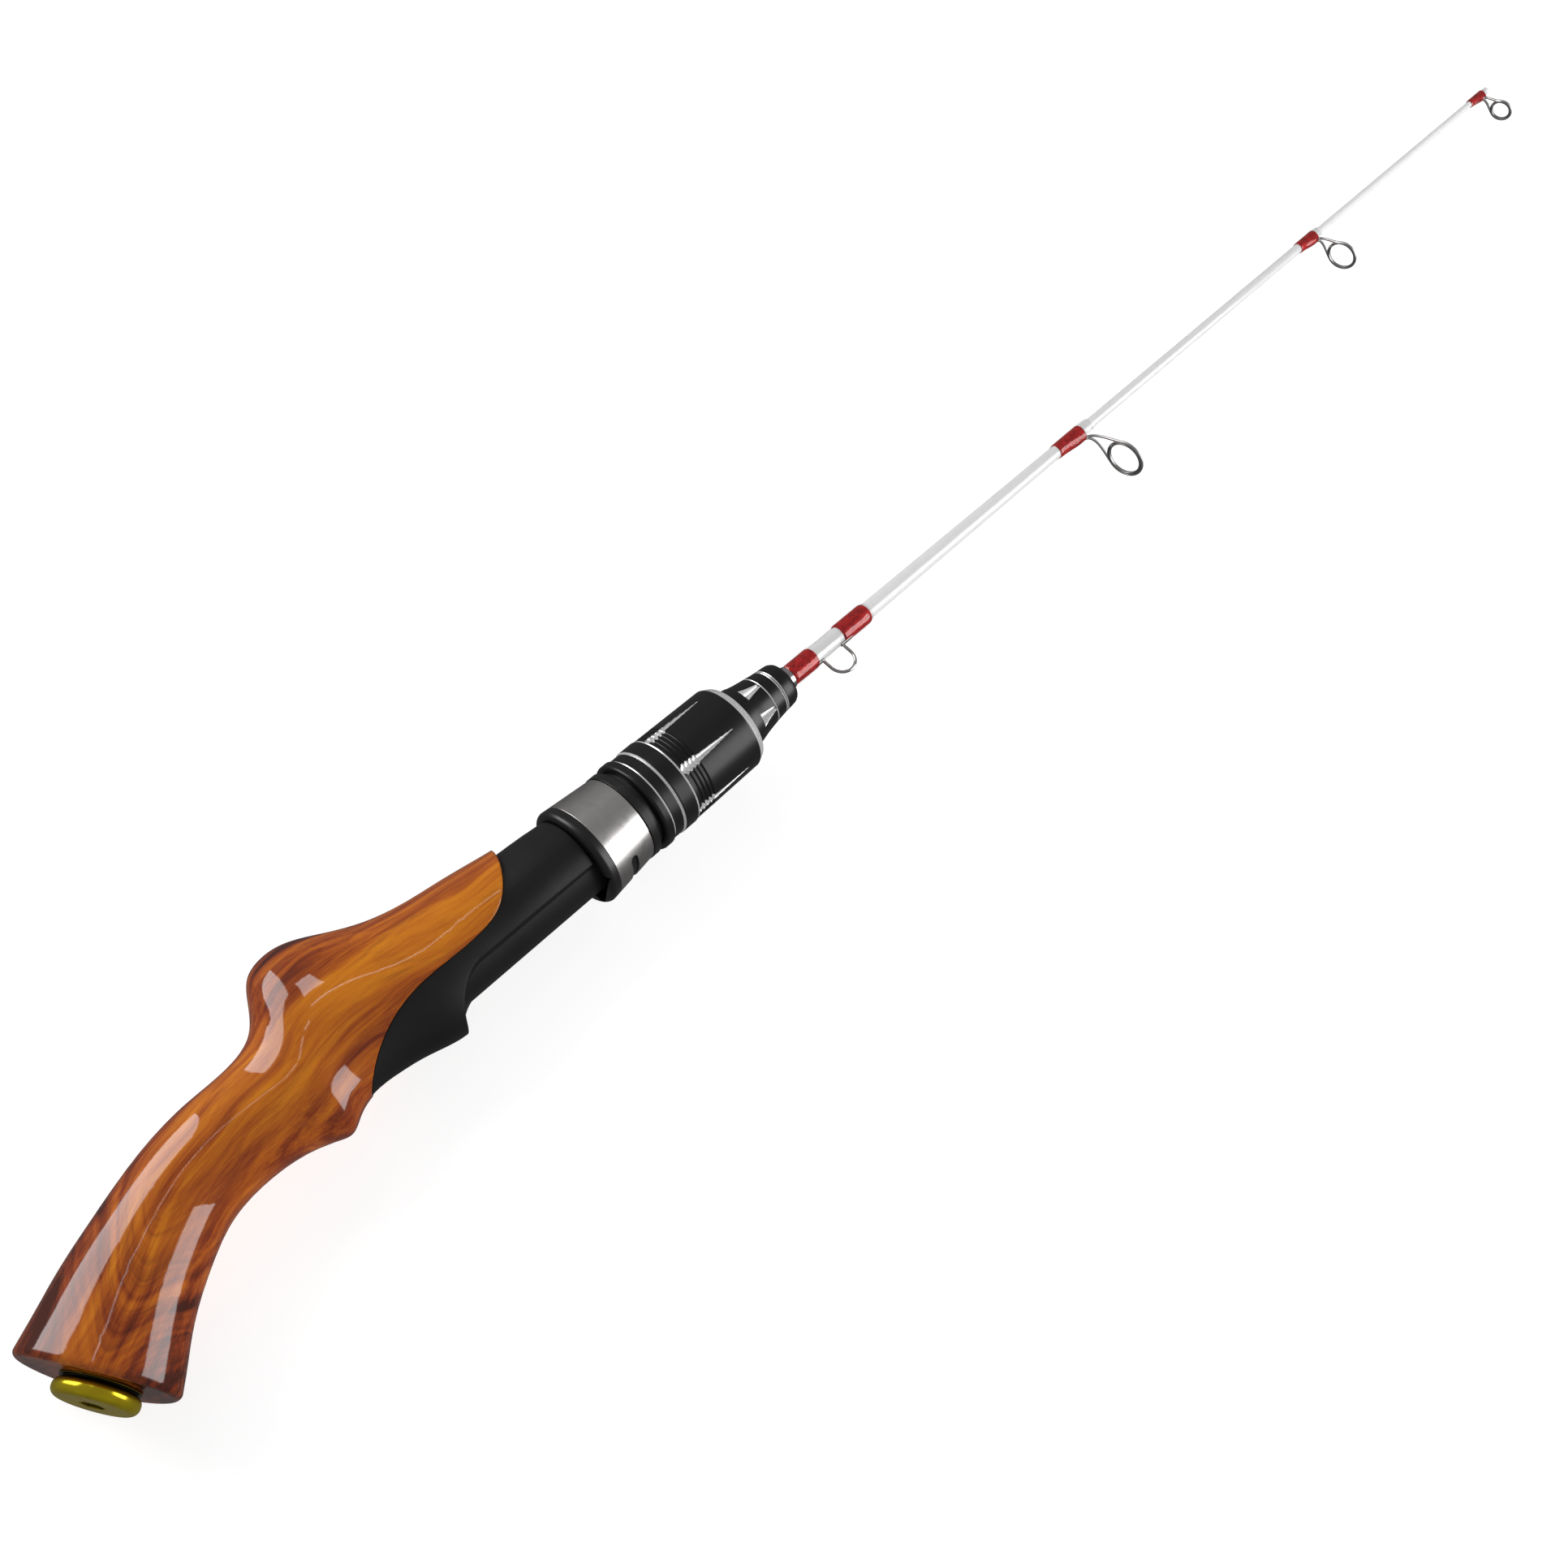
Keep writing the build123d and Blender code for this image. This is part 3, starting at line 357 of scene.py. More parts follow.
def seat_black():
    g = Graph("seat_black")
    x, y, z = g.mm()
    grit = g.noise(x, y, z, (4.5, 4.5, 4.5), detail=3.0, roughness=0.6)
    cloud = g.noise(x, y, z, (0.09, 0.12, 0.12), detail=3.0)
    rough = g.math("ADD", 0.38, g.math("MULTIPLY", cloud, 0.14))
    color = g.mix(cloud, (0.0055, 0.0055, 0.006), (0.0095, 0.0093, 0.0095))
    normal = g.bump(grit, 0.02, 0.35, g.bevel(0.5))
    return g.shade(Base_Color=color, Roughness=rough, Normal=normal, Specular_IOR_Level=0.3)


def rubber(name, tone, roughness):
    g = Graph(name)
    x, y, z = g.mm()
    grit = g.noise(x, y, z, (3.0, 3.0, 3.0), detail=4.0, roughness=0.6)
    color = g.mix(grit, (tone * 0.8,) * 3, (tone * 1.25,) * 3)
    rough = g.math("ADD", roughness, g.math("MULTIPLY", g.math("SUBTRACT", grit, 0.5), 0.1))
    return g.shade(Base_Color=color, Roughness=rough, Normal=g.bump(grit, 0.02, 0.3, g.bevel(0.35)))


def metal(name, color, roughness, lathe=0.0, bevel=0.25):
    """Bare or plated metal with fine turning marks about the blank's axis and slow wear in its gloss."""
    g = Graph(name)
    x, y, z = g.mm()
    wear = g.noise(x, y, z, (0.5, 0.5, 0.5), detail=4.0)
    rough = g.math("ADD", roughness, g.math("MULTIPLY", g.math("SUBTRACT", wear, 0.5), roughness * 0.6))
    shade = g.mix(g.math("MULTIPLY", wear, 0.5), color, tuple(value * 0.72 for value in color))
    normal = g.bevel(bevel)
    if lathe:
        marks = g.noise(x, y, z, (9.0, 0.12, 0.12), detail=2.0)
        normal = g.bump(marks, 0.01, lathe, normal)
    return g.shade(Base_Color=shade, Metallic=1.0, Roughness=rough, Normal=normal)


def gold_anodised():
    g = Graph("gold_anodised")
    x, y, z = g.mm()
    wear = g.noise(x, y, z, (0.35, 0.35, 0.35), detail=4.0)
    weight = g.add("ShaderNodeLayerWeight", {"Blend": 0.35}).outputs["Facing"]
    color = g.mix(wear, (0.74, 0.60, 0.016), (0.56, 0.40, 0.016))
    # painted shade: ambient occlusion darkens the colour in the socket and in the gap behind the cap
    openness_for_painted_shade = g.add("ShaderNodeAmbientOcclusion", {"Distance": 0.004}, samples=8).outputs["AO"]
    color = g.mix(g.span(openness_for_painted_shade, 0.35, 0.8), (0.03, 0.022, 0.004), color)
    rough = g.math("ADD", 0.19, g.math("MULTIPLY", weight, 0.1))
    return g.shade(Base_Color=color, Metallic=0.8, Roughness=rough, Normal=g.bevel(0.25))


def black_anodised():
    """Satin black with the machined lines, flutes and chamfers left bright, as the mesh marks them."""
    g = Graph("black_anodised")
    x, y, z = g.mm()
    cut = g.add("ShaderNodeAttribute", attribute_name="cut").outputs["Fac"]
    cut = g.span(cut, 0.35, 0.65)
    grit = g.noise(x, y, z, (6.0, 6.0, 6.0), detail=3.0, roughness=0.6)
    marks = g.noise(x, y, z, (14.0, 0.3, 0.3), detail=2.0)
    dark = g.mix(grit, (0.004, 0.004, 0.0045), (0.008, 0.008, 0.0085))
    bright = g.mix(marks, (0.92, 0.92, 0.93), (0.74, 0.74, 0.75))
    color = g.mix(cut, dark, bright)
    metallic = g.math("MULTIPLY", cut, 0.55)
    satin_rough = g.math("ADD", 0.29, g.math("MULTIPLY", grit, 0.08))
    rough = g.math("ADD", g.math("MULTIPLY", cut, -0.06), satin_rough)
    satin = g.math("SUBTRACT", 0.32, g.math("MULTIPLY", cut, 0.27))
    normal = g.bump(g.math("ADD", grit, g.math("MULTIPLY", marks, 0.5)), 0.015, satin)
    return g.shade(
        Base_Color=color, Metallic=metallic, Roughness=rough, Normal=normal, Specular_IOR_Level=0.4,
    )


def white_glass():
    g = Graph("white_glass")
    x, y, z = g.mm()
    turn = g.math("ARCTAN2", z, y)
    spiral = g.math("ADD", g.math("MULTIPLY", x, 0.55), turn)
    cloth = g.math("SINE", g.math("MULTIPLY", spiral, 2.0))
    haze = g.noise(x, y, z, (0.12, 0.6, 0.6), detail=4.0, roughness=0.6)
    color = g.mix(haze, (0.88, 0.88, 0.885), (0.96, 0.96, 0.965))
    color = g.mix(g.math("MULTIPLY", g.span(cloth, 0.6, 1.0), 0.12), color, (0.80, 0.80, 0.81))
    normal = g.bump(haze, 0.02, 0.1)
    return g.shade(
        Base_Color=color, Roughness=0.28, Normal=normal, Subsurface_Weight=0.25, Subsurface_Scale=0.001,
        Subsurface_Radius=(1.0, 1.0, 1.0), Coat_Weight=0.6, Coat_Roughness=0.06,
    )


def red_thread():
    """Metallic red thread, wound turn against turn, with darker flecks of its twist."""
    g = Graph("red_thread")
    x, y, z = g.mm()
    turn = g.math("ARCTAN2", z, y)
    wound = g.math("SINE", g.math("ADD", g.math("MULTIPLY", x, 2 * math.pi / THREAD_PITCH), turn))
    twist = g.noise(x, g.math("MULTIPLY", turn, 2.4), z, (4.2, 1.6, 0.0), detail=3.0, roughness=0.65)
    patch = g.noise(x, y, z, (0.55, 0.7, 0.7), detail=3.0)
    tone = g.math("ADD", g.math("MULTIPLY", twist, 0.65), g.math("MULTIPLY", patch, 0.35))
    color = g.ramp(tone, THREAD_TONES)
    return g.shade(
        Base_Color=color, Metallic=0.3, Roughness=0.5, Normal=g.bump(wound, 0.03, 0.25),
        Specular_IOR_Level=0.2,
    )


def clear_epoxy():
    """Clear coat: what lies under it shows through, and it keeps a glossy surface of its own."""
    g = Graph("clear_epoxy")
    x, y, z = g.mm()
    flow = g.noise(x, y, z, (0.25, 0.25, 0.25), detail=1.0)
    normal = g.bump(flow, 0.05, 0.12)
    gloss = g.add("ShaderNodeBsdfGlossy", {"Roughness": 0.035, "Normal": normal})
    through = g.add("ShaderNodeBsdfTransparent", {"Color": (0.99, 0.99, 0.988, 1.0)})
    fresnel = g.add("ShaderNodeFresnel", {"IOR": 1.55, "Normal": normal}).outputs[0]
    front = g.math("SUBTRACT", 1.0, g.add("ShaderNodeNewGeometry").outputs["Backfacing"])
    share = g.math("MULTIPLY", fresnel, front, clamp=True)
    both = g.add("ShaderNodeMixShader")
    g.put(both.inputs[0], share)
    g.tree.links.new(through.outputs[0], both.inputs[1])
    g.tree.links.new(gloss.outputs[0], both.inputs[2])
    g.tree.links.new(both.outputs[0], g.out.inputs[0])
    return g.material


materials = {
    "lacquered_wood": lacquered_wood(),
    "seat_black": seat_black(),
    "gold_anodised": gold_anodised(),
    "black_rubber": rubber("black_rubber", 0.008, 0.5),
    "steel": metal("steel", (0.62, 0.61, 0.60), 0.2),
    "brass": metal("brass", (0.60, 0.42, 0.14), 0.3, lathe=0.4),
    "black_anodised": black_anodised(),
    "arbor_foam": rubber("arbor_foam", 0.4, 0.7),
    "white_glass": white_glass(),
    "nickel": metal("nickel", (0.58, 0.57, 0.57), 0.22, lathe=0.3, bevel=0.15),
    "red_thread": red_thread(),
    "clear_epoxy": clear_epoxy(),
    "hood_metal": metal("hood_metal", (0.64, 0.62, 0.61), 0.29, bevel=0.3),
    "liner_black": rubber("liner_black", 0.006, 0.34),
    "guide_steel": metal("guide_steel", (0.56, 0.55, 0.545), 0.36, bevel=0.1),
    "guide_ring": metal("guide_ring", (0.46, 0.45, 0.44), 0.4, bevel=0.1),
}


def finish_piece(obj, slot_name, body, replaced):
    """Give a piece its material, and put it in the place of the CAD node it stands for."""
    obj.data.materials.clear()
    obj.data.materials.append(materials[slot_name])
    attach(obj, body)
    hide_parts(replaced)


slot_of = {part["node"]: part["material_slot"] for part in frame["record"]["subparts"]}
for name, node in nodes.items():
    node.data.materials.clear()
    node.data.materials.append(materials[slot_of[name]])

# ---------------------------------------------------------------- mesh helpers


def new_piece(name, points, faces, smooth_angle=SMOOTH_ANGLE, marks=None):
    """A mesh object from points in millimetres, smooth but for edges sharper than the angle."""
    mesh = bpy.data.meshes.new(name)
    mesh.from_pydata((np.asarray(points, float) * MM).tolist(), [], faces)
    mesh.validate()
    if marks is not None:
        layer = mesh.attributes.new("cut", "FLOAT", "POINT")
        layer.data.foreach_set("value", np.asarray(marks, np.float32).ravel())
    mesh.shade_smooth()
    mesh.set_sharp_from_angle(angle=math.radians(smooth_angle))
    obj = bpy.data.objects.new(name, mesh)
    scene.collection.objects.link(obj)
    return obj


def quads(rings, steps, closed_rings=True):
    """Faces between rings of points; with closed rings the last ring joins the first."""
    faces = []
    last = rings if closed_rings else rings - 1
    for i in range(last):
        here, there = i * steps, ((i + 1) % rings) * steps
        for j in range(steps):
            k = (j + 1) % steps
            faces.append((here + j, here + k, there + k, there + j))
    return faces


def full_turn(steps):
    """Evenly spaced angles round a circle, in radians."""
    return np.linspace(0, 2 * math.pi, steps, endpoint=False)


def turned_points(xs, radii, steps):
    """Points of rings about the X axis; radii has one row per ring and one column per step."""
    angle = full_turn(steps)
    radii = np.broadcast_to(radii, (len(xs), steps))
    x = np.repeat(np.asarray(xs, float), steps)
    y = (radii * np.cos(angle)).ravel()
    z = (radii * np.sin(angle)).ravel()
    return np.stack([x, y, z], 1)


def polar_shell(name, xs, outer, inside, steps, marks=None, smooth_angle=SMOOTH_ANGLE):
    """A closed turned piece: an outer surface given point by point, and plain rings inside it."""
    inside_x = [x for x, _ in inside]
    inside_r = np.repeat(np.array([[r] for _, r in inside], float), steps, axis=1)
    points = turned_points(list(xs) + inside_x, np.vstack([outer, inside_r]), steps)
    if marks is not None:
        marks = np.vstack([marks, np.zeros((len(inside), steps))])
    return new_piece(name, points, quads(len(xs) + len(inside), steps), smooth_angle, marks)


def angle_from(angles, phase, count):
    """Signed angle to the nearest of several evenly spaced directions, in radians."""
    pitch = 2 * math.pi / count
    return (angles - math.radians(phase) + pitch / 2) % pitch - pitch / 2


def smooth_line(points, count):
    """Points along a smooth curve through (x, value) points."""
    points = np.asarray(points, float)
    slopes = np.gradient(points[:, 1], points[:, 0])
    xs = np.linspace(points[0, 0], points[-1, 0], count)
    place = np.clip(np.searchsorted(points[:, 0], xs, side="right") - 1, 0, len(points) - 2)
    width = points[place + 1, 0] - points[place, 0]
    t = (xs - points[place, 0]) / width
    a, b = points[place, 1], points[place + 1, 1]
    u, v = slopes[place] * width, slopes[place + 1] * width
    values = a * (2 * t**3 - 3 * t**2 + 1) + u * (t**3 - 2 * t**2 + t)
    values += b * (3 * t**2 - 2 * t**3) + v * (t**3 - t**2)
    return xs, values


# ---------------------------------------------------------------- locking nut


def build_nut():
    """Flutes and ribs are cut into the profile; what the cutter leaves bright is marked."""
    profile = np.array(NUT_PROFILE)
    rings = [np.arange(*spacing) for spacing in NUT_RING_SPACING]
    xs = np.unique(np.round(np.concatenate([profile[:, 0], *rings]), 3))
    base = np.interp(xs, profile[:, 0], profile[:, 1])[:, None]
    side = np.abs(angle_from(full_turn(NUT_STEPS), FLUTE_PHASE, FLUTE_COUNT))[None, :] * base
    x = xs[:, None]
    share = np.clip((x - FLUTE_X[0]) / (FLUTE_X[1] - FLUTE_X[0]), 0, 1)
    width = FLUTE_HALF_WIDTH * (1 - share) ** FLUTE_TAPER
    round_end = np.sqrt(np.clip(FLUTE_HALF_WIDTH**2 - (FLUTE_X[0] - x) ** 2, 0, None))
    width = np.where(x < FLUTE_X[0], round_end, width)
    width = np.where(x > FLUTE_X[1], 0, width)
    rib = np.zeros_like(x)
    for rib_x in RIB_X:
        rib = np.maximum(rib, np.sqrt(np.clip(1 - ((x - rib_x) / RIB_HALF_WIDTH) ** 2, 0, None)))
    width = width + SCALLOP * rib
    hollow = np.sqrt(np.clip(1 - (side / np.maximum(width, 1e-6)) ** 2, 0, None))
    flute = FLUTE_DEPTH * np.clip(width / FLUTE_HALF_WIDTH, 0, 1) ** FLUTE_SHALLOWING * hollow
    rib = RIB_DEPTH * rib * np.ones_like(side)
    radii = base - np.maximum(flute, rib)
    cut = (flute > np.maximum(rib * CUT_OVER_RIB, NUT_CUT_DEPTH)).astype(float)
    for line_x in NUT_LINES:
        cut = np.maximum(cut, (np.abs(x - line_x) < NUT_LINE_HALF_WIDTH) * np.ones_like(side))
    cut = np.maximum(cut, (x > NUT_CHAMFER_X) * np.ones_like(side))
    return polar_shell("nut_body", xs, radii, NUT_BORE, NUT_STEPS, cut, TURNED_SMOOTH_ANGLE)


finish_piece(build_nut(), "black_anodised", "nut", "nut_shell")

# ---------------------------------------------------------------- cone


def build_cone():
    """Notches with sloping floors and thin grooves, both left bright."""
    line_x, line_r = smooth_line(CONE_PROFILE, CONE_RINGS)
    notch_span = (NOTCH_X[0] - NOTCH_RING_MARGIN[0], NOTCH_X[1] + NOTCH_RING_MARGIN[1])
    notch_rings = np.arange(*notch_span, NOTCH_RING_SPACING)
    groove = np.array([
        -CONE_GROOVE_HALF_WIDTH, -CONE_LINE_HALF_WIDTH, 0.0, CONE_LINE_HALF_WIDTH, CONE_GROOVE_HALF_WIDTH,
    ])
    groove_rings = [centre + groove for centre in CONE_LINES]
    xs = np.unique(np.round(np.concatenate([line_x, notch_rings, *groove_rings]), 3))
    base = np.interp(xs, line_x, line_r)
    for centre in CONE_LINES:
        share = np.clip(1 - np.abs(xs - centre) / CONE_GROOVE_HALF_WIDTH, 0, 1)
        base = base - CONE_GROOVE_DEPTH * share
    nose = np.array(CONE_NOSE)
    xs = np.concatenate([xs, nose[:, 0]])
    base = np.concatenate([base, nose[:, 1]])[:, None]
    side = np.abs(angle_from(full_turn(CONE_STEPS), NOTCH_PHASE, FLUTE_COUNT))[None, :] * base
    x = xs[:, None]
    inside_notch = (x >= NOTCH_X[0]) & (x <= NOTCH_X[1])
    floor = NOTCH_FLOOR_R + side * NOTCH_SLOPE
    radii = np.where(inside_notch, np.minimum(base, floor), base * np.ones_like(side))
    cut = (radii < base - CONE_CUT_DEPTH).astype(float)
    for centre in CONE_LINES:
        on_line = np.abs(x - centre) <= CONE_LINE_HALF_WIDTH + RING_TOLERANCE
        cut = np.maximum(cut, on_line * np.ones_like(side))
    return polar_shell("cone_body", xs, radii, CONE_INSIDE, CONE_STEPS, cut, TURNED_SMOOTH_ANGLE)


finish_piece(build_cone(), "black_anodised", "handle", "front_cone")

# ---------------------------------------------------------------- wraps and their coats


def base_radius(x):
    (x0, r0), (x1, r1) = BASE_ENDS
    return r0 + (x - x0) / (x1 - x0) * (r1 - r0)


def foot_share(steps):
    """How far each angle takes part in a swelling: fully on the reel side, not at all opposite."""
    return np.clip(-np.cos(full_turn(steps)), 0, 1)[None, :] ** FOOT_FOCUS


def sleeve(name, x_range, inner_of, thickness, bulge, ends, steps, bulge_x=None):
    """A wound or coated sleeve that thins out at its ends and swells over a foot on the reel side."""
    xs = np.linspace(x_range[0], x_range[1], SLEEVE_RINGS)
    rise = np.clip((xs - x_range[0]) / ends[0], 0, 1)
    fall = np.clip((x_range[1] - xs) / ends[1], 0, 1)
    body = np.sqrt(1 - (1 - rise) ** 2) * np.sqrt(1 - (1 - fall) ** 2)
    low, high = bulge_x or x_range
    swell_rise = np.clip((xs - low) / (SWELL_RAMP * (high - low)), 0, 1)
    swell = swell_rise**2 * (3 - 2 * swell_rise) * np.clip((x_range[1] - xs) / ends[1], 0, 1) ** 0.5
    inner = np.array([inner_of(x) for x in xs])
    outer = (inner + WRAP_EDGE + thickness * body)[:, None] + bulge * swell[:, None] * foot_share(steps)
    inside = [(xs[-1], inner[-1]), (xs[0], inner[0])]
    return polar_shell(name, xs, outer, inside, steps)


for node, wrap in KEEPER_WRAPS.items():
    piece = sleeve(
        f"{node}_wound", wrap, lambda x: base_radius(x) + GLUE_GAP, KEEPER_THREAD, KEEPER_BULGE, KEEPER_ENDS,
        steps=KEEPER_STEPS,
    )
    finish_piece(piece, "red_thread", "handle", node)


def build_keeper_coat():
    """One coat over both wraps and the bare blank between them, thinner where there is no thread."""
    rear, front = KEEPER_WRAPS["keeper_thread_rear"], KEEPER_WRAPS["keeper_thread_front"]
    points = [
        (rear[0], 0.30), (rear[0] + 0.3, 0.52), (rear[0] + 2.0, KEEPER_COAT_FULL),
        (rear[1] - 0.5, KEEPER_COAT_SHOULDER), (rear[1] + 1.6, KEEPER_COAT_BARE),
        (front[0] - 1.6, KEEPER_COAT_BARE), (front[0] + 0.5, KEEPER_COAT_SHOULDER),
        (front[0] + 3.5, KEEPER_COAT_FULL),
        (front[1] - 0.6, 0.46), (front[1] + 0.3, 0.20), (front[1] + 0.8, 0.08),
    ]
    xs, lift = smooth_line(points, KEEPER_COAT_RINGS)
    base = np.array([base_radius(x) for x in xs])
    swell = KEEPER_COAT_BULGE * foot_share(KEEPER_STEPS) * (lift / KEEPER_COAT_FULL)[:, None]
    outer = (base + lift)[:, None] + swell
    inside = [(xs[-1], base[-1] + GLUE_GAP), (xs[0], base[0] + GLUE_GAP)]
    return polar_shell("keeper_coat_clear", xs, outer, inside, KEEPER_STEPS)


finish_piece(build_keeper_coat(), "clear_epoxy", "handle", "keeper_coat")

# ---------------------------------------------------------------- line guides


def tube_along(path, radii, steps):
    """Points and faces of a closed tube along a path, with one radius for each of its points."""
    path = np.asarray(path, float)
    ahead = np.gradient(path, axis=0)
    ahead /= np.linalg.norm(ahead, axis=1)[:, None]
    normal = np.array([0.0, 1.0, 0.0])
    turn = full_turn(steps)
    points = []
    for place, direction, radius in zip(path, ahead, radii):
        normal = normal - direction * normal.dot(direction)
        normal /= np.linalg.norm(normal)
        other = np.cross(direction, normal)
        ring = place + radius * (np.cos(turn)[:, None] * normal + np.sin(turn)[:, None] * other)
        points.append(ring)
    points = np.vstack(points)
    faces = quads(len(path), steps, closed_rings=False)
    start, end = len(points), len(points) + 1
    points = np.vstack([points, path[0], path[-1]])
    last = (len(path) - 1) * steps
    for j in range(steps):
        k = (j + 1) % steps
        faces.append((j, k, start))
        faces.append((last + k, last + j, end))
    return points, faces


def hermite(start, end, leave, arrive, count):
    """Points on a smooth curve between two points with given directions at its ends."""
    t = np.linspace(0, 1, count)[:, None]
    line = start * (2 * t**3 - 3 * t**2 + 1) + leave * (t**3 - 2 * t**2 + t)
    return line + end * (3 * t**2 - 2 * t**3) + arrive * (t**3 - t**2)


def build_guide(number, guide):
    """One guide's wire and rim, its ring, and the wrap and coat that hold it."""
    rim_r, seat_r, bore_r = guide["radii"]
    lean = math.radians(guide["lean"])
    centre = np.array([*guide["ring"], 0.0])
    towards_blank = np.array([-math.sin(lean), math.cos(lean), 0.0])
    along = np.array([math.cos(lean), math.sin(lean), 0.0])
    across = np.array([0.0, 0.0, 1.0])

    def place(points):
        return centre + points[:, :1] * along + points[:, 1:2] * towards_blank + points[:, 2:3] * across

    # wire: out of the wrap, down one leg, round the ring and back up the other leg
    hoop_r = rim_r - GUIDE_WIRE_R
    foot_r = GUIDE_WIRE_R * np.linspace(GUIDE_FOOT_TAPER, 1.0, GUIDE_FOOT_POINTS)
    foot_y = -(guide["blank_r"] + GLUE_GAP + GUIDE_WIRE_R)
    foot_start = guide["wrap"][0] + FOOT_INSET[0]
    foot_end = guide["foot_tip"] - FOOT_INSET[1]
    reach = np.linalg.norm(np.array([foot_end, foot_y, 0.0]) - centre)
    tangent = math.acos(hoop_r / reach) * LEG_TANGENT_SHARE
    half_gap = GUIDE_WIRE_R * FOOT_HALF_GAP
    foot = [
        np.array([x, foot_y + GUIDE_WIRE_R - radius, half_gap])
        for x, radius in zip(np.linspace(foot_start, foot_end, GUIDE_FOOT_POINTS), foot_r)
    ]
    touch = centre + hoop_r * (math.cos(tangent) * towards_blank + math.sin(tangent) * across)
    heading = -math.sin(tangent) * towards_blank + math.cos(tangent) * across
    span = np.linalg.norm(touch - foot[-1])
    leave, arrive = np.array(LEG_LEAVES) * span * LEG_PULL, heading * span * LEG_PULL
    leg = hermite(foot[-1], touch, leave, arrive, GUIDE_LEG_POINTS)
    arc_angles = np.linspace(tangent, 2 * math.pi - tangent, GUIDE_HOOP_POINTS)
    arc = [centre + hoop_r * (math.cos(a) * towards_blank + math.sin(a) * across) for a in arc_angles]
    mirror = np.array([1.0, 1.0, -1.0])
    half = list(foot[:-1]) + list(leg)
    path = half + arc[1:-1] + [point * mirror for point in reversed(half)]
    radii = np.full(len(path), GUIDE_WIRE_R)
    radii[:GUIDE_FOOT_POINTS] = foot_r
    radii[-GUIDE_FOOT_POINTS:] = foot_r[::-1]
    points, faces = tube_along(path, radii, GUIDE_WIRE_STEPS)
    # rim that holds the ring
    profile_angle = full_turn(SECTION_POINTS)
    rim_half = RIM_THICKNESS / 2
    rim_mid = seat_r + rim_half
    rim_x = RIM_DEPTH / 2 * np.cos(profile_angle + math.pi)
    rim_profile = rim_mid + rim_half * np.sin(profile_angle)
    rim = place(turned_points(rim_x, rim_profile[:, None], RIM_STEPS))
    rim_faces = [tuple(index + len(points) for index in face) for face in quads(SECTION_POINTS, RIM_STEPS)]
    frame_piece = new_piece(f"guide_{number}_wire", np.vstack([points, rim]), faces + rim_faces)
    finish_piece(frame_piece, "guide_steel", guide["body"], f"guide_frame_{number}")

    # ring with a rounded bore
    outer_r = seat_r - GLUE_GAP
    mid, half_r = (outer_r + bore_r) / 2, (outer_r - bore_r) / 2
    powers = np.abs(np.cos(profile_angle)) ** RING_POWER + np.abs(np.sin(profile_angle)) ** RING_POWER
    oval = 1.0 / powers ** (1 / RING_POWER)
    ring_x = RING_DEPTH / 2 * np.cos(profile_angle + math.pi) * oval
    ring_profile = mid + half_r * np.sin(profile_angle) * oval
    ring = place(turned_points(ring_x, ring_profile[:, None], RING_STEPS))
    ring_piece = new_piece(f"guide_{number}_ring_turned", ring, quads(SECTION_POINTS, RING_STEPS))
    finish_piece(ring_piece, "guide_ring", guide["body"], f"guide_ring_{number}")

    # wrap and its coat
    inner = guide["blank_r"] + GLUE_GAP
    wrap = guide["wrap"]
    swell_x = (wrap[0] + SWELL_START, wrap[1])
    lift = 2 * GUIDE_WIRE_R - WRAP_SINK
    thread = sleeve(
        f"guide_{number}_wrap", wrap, lambda x: inner, GUIDE_THREAD, lift, GUIDE_THREAD_ENDS,
        bulge_x=swell_x, steps=GUIDE_WRAP_STEPS,
    )
    finish_piece(thread, "red_thread", guide["body"], f"guide_thread_{number}")
    coat_x = (wrap[0] - GUIDE_COAT_OVERHANG, guide["coat_end"])
    coat = sleeve(
        f"guide_{number}_coat_clear", coat_x, lambda x: inner, GUIDE_COAT, lift + COAT_EXTRA, GUIDE_COAT_ENDS,
        bulge_x=(wrap[0], guide["coat_end"]), steps=GUIDE_WRAP_STEPS,
    )
    finish_piece(coat, "clear_epoxy", guide["body"], f"guide_coat_{number}")


for number, guide in GUIDES.items():
    build_guide(number, guide)

# ---------------------------------------------------------------- studio

camera_data = bpy.data.cameras.new("camera")
camera_data.lens = CAMERA_LENS
camera_data.sensor_width = CAMERA_SENSOR
camera = bpy.data.objects.new("camera", camera_data)
scene.collection.objects.link(camera)
camera.matrix_world = CAMERA_PLACE
scene.camera = camera
scene.view_settings.view_transform = "Standard"
scene.view_settings.look = "None"

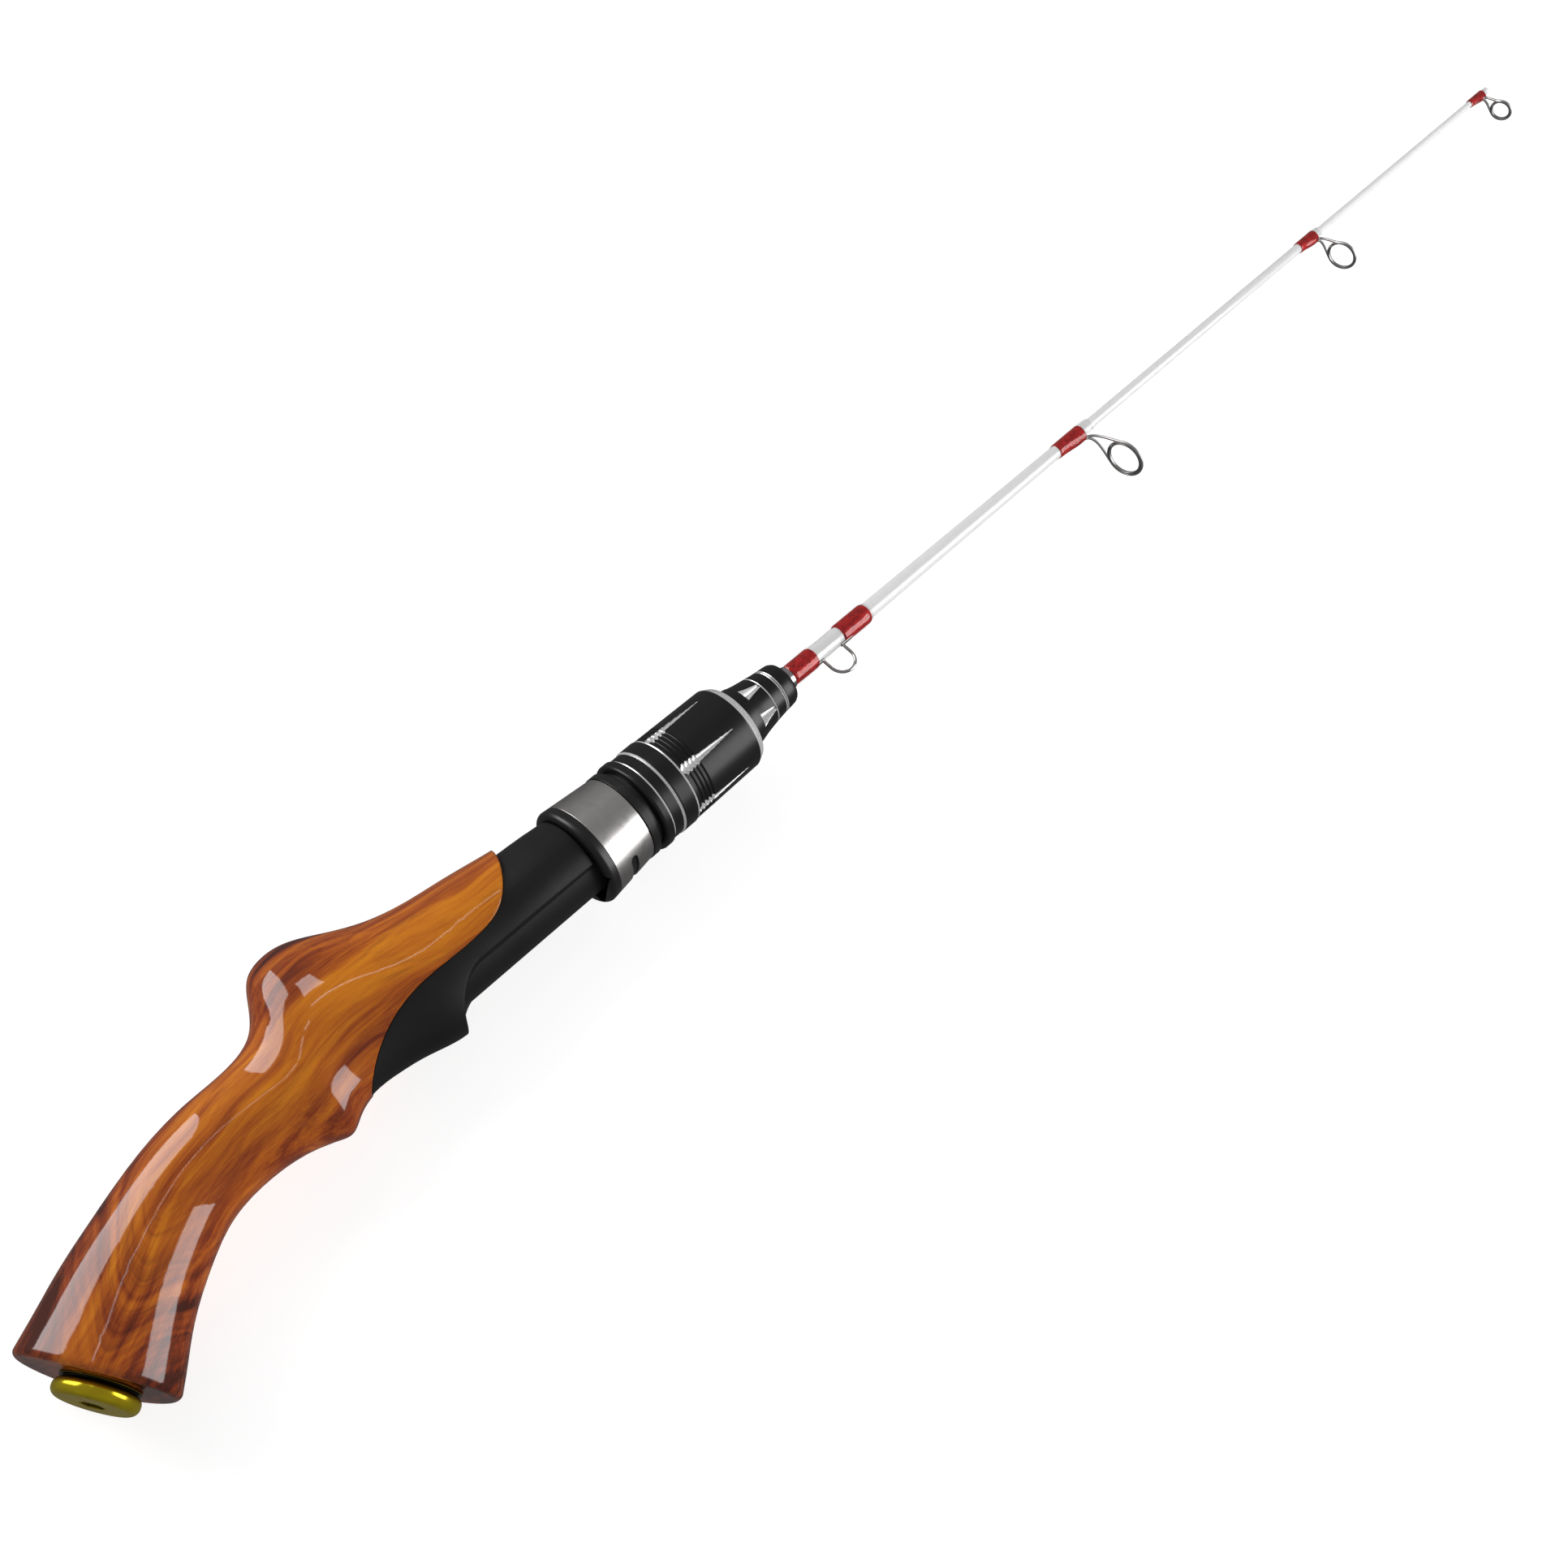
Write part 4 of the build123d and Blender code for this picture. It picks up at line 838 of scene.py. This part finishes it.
bpy.ops.mesh.primitive_plane_add(size=FLOOR_SIZE, location=(0, 0, before[0][2] - FLOOR_GAP))
floor = bpy.context.object
floor.name = "floor"
g = Graph("floor")
fx, fy, fz = g.mm()
paper = g.noise(fx, fy, fz, (0.01, 0.01, 0.01), detail=2.0)
pale_tones = [(tone,) * 3 for tone in FLOOR_TONES]
diffuse = g.add("ShaderNodeBsdfDiffuse", {"Color": g.mix(paper, *pale_tones)})
glow = g.add("ShaderNodeEmission", {"Color": (1.0, 1.0, 1.0, 1.0), "Strength": FLOOR_GLOW})
total = g.add("ShaderNodeAddShader")
g.tree.links.new(diffuse.outputs[0], total.inputs[0])
g.tree.links.new(glow.outputs[0], total.inputs[1])
g.tree.links.new(total.outputs[0], g.out.inputs[0])
floor.data.materials.append(g.material)
floor.visible_glossy = False

world = bpy.data.worlds.new("studio")
world.use_nodes = True
tree = world.node_tree
sky = tree.nodes.new("ShaderNodeTexCoord")
split = tree.nodes.new("ShaderNodeSeparateXYZ")
fade = tree.nodes.new("ShaderNodeMapRange")
for socket, value in SKY_FADE.items():
    fade.inputs[socket].default_value = value
tree.links.new(sky.outputs["Generated"], split.inputs[0])
tree.links.new(split.outputs[2], fade.inputs["Value"])
# past the floor the camera sees white, whatever the fade gives
seen = tree.nodes.new("ShaderNodeLightPath").outputs["Is Camera Ray"]
strength = tree.nodes.new("ShaderNodeMath")
strength.operation = "MAXIMUM"
tree.links.new(fade.outputs[0], strength.inputs[0])
tree.links.new(seen, strength.inputs[1])
tree.links.new(strength.outputs[0], tree.nodes["Background"].inputs["Strength"])
tree.nodes["Background"].inputs["Color"].default_value = (1.0, 1.0, 1.0, 1.0)
scene.world = world


def softbox(name, turn, rise, distance, width, height, radiance):
    """An area light in a direction given by its turn about X from +Y and its rise towards +X."""
    turn, rise = math.radians(turn), math.radians(rise)
    back = Vector((
        math.sin(rise), math.cos(rise) * math.cos(turn), math.cos(rise) * math.sin(turn),
    ))
    data = bpy.data.lights.new(name, "AREA")
    data.shape = "RECTANGLE"
    data.size = width
    data.size_y = height
    data.energy = radiance * width * height * math.pi
    light = bpy.data.objects.new(name, data)
    scene.collection.objects.link(light)
    # its width runs round the rod's axis, its height along it, and its back away from the rod
    along = (Vector((1.0, 0.0, 0.0)) - back * back.x).normalized()
    around = along.cross(back)
    light.matrix_world = Matrix((
        (around.x, along.x, back.x, LIGHT_AIM[0] + back.x * distance),
        (around.y, along.y, back.y, LIGHT_AIM[1] + back.y * distance),
        (around.z, along.z, back.z, LIGHT_AIM[2] + back.z * distance),
        (0.0, 0.0, 0.0, 1.0),
    ))


for name, values in SOFTBOXES.items():
    softbox(name, *values)
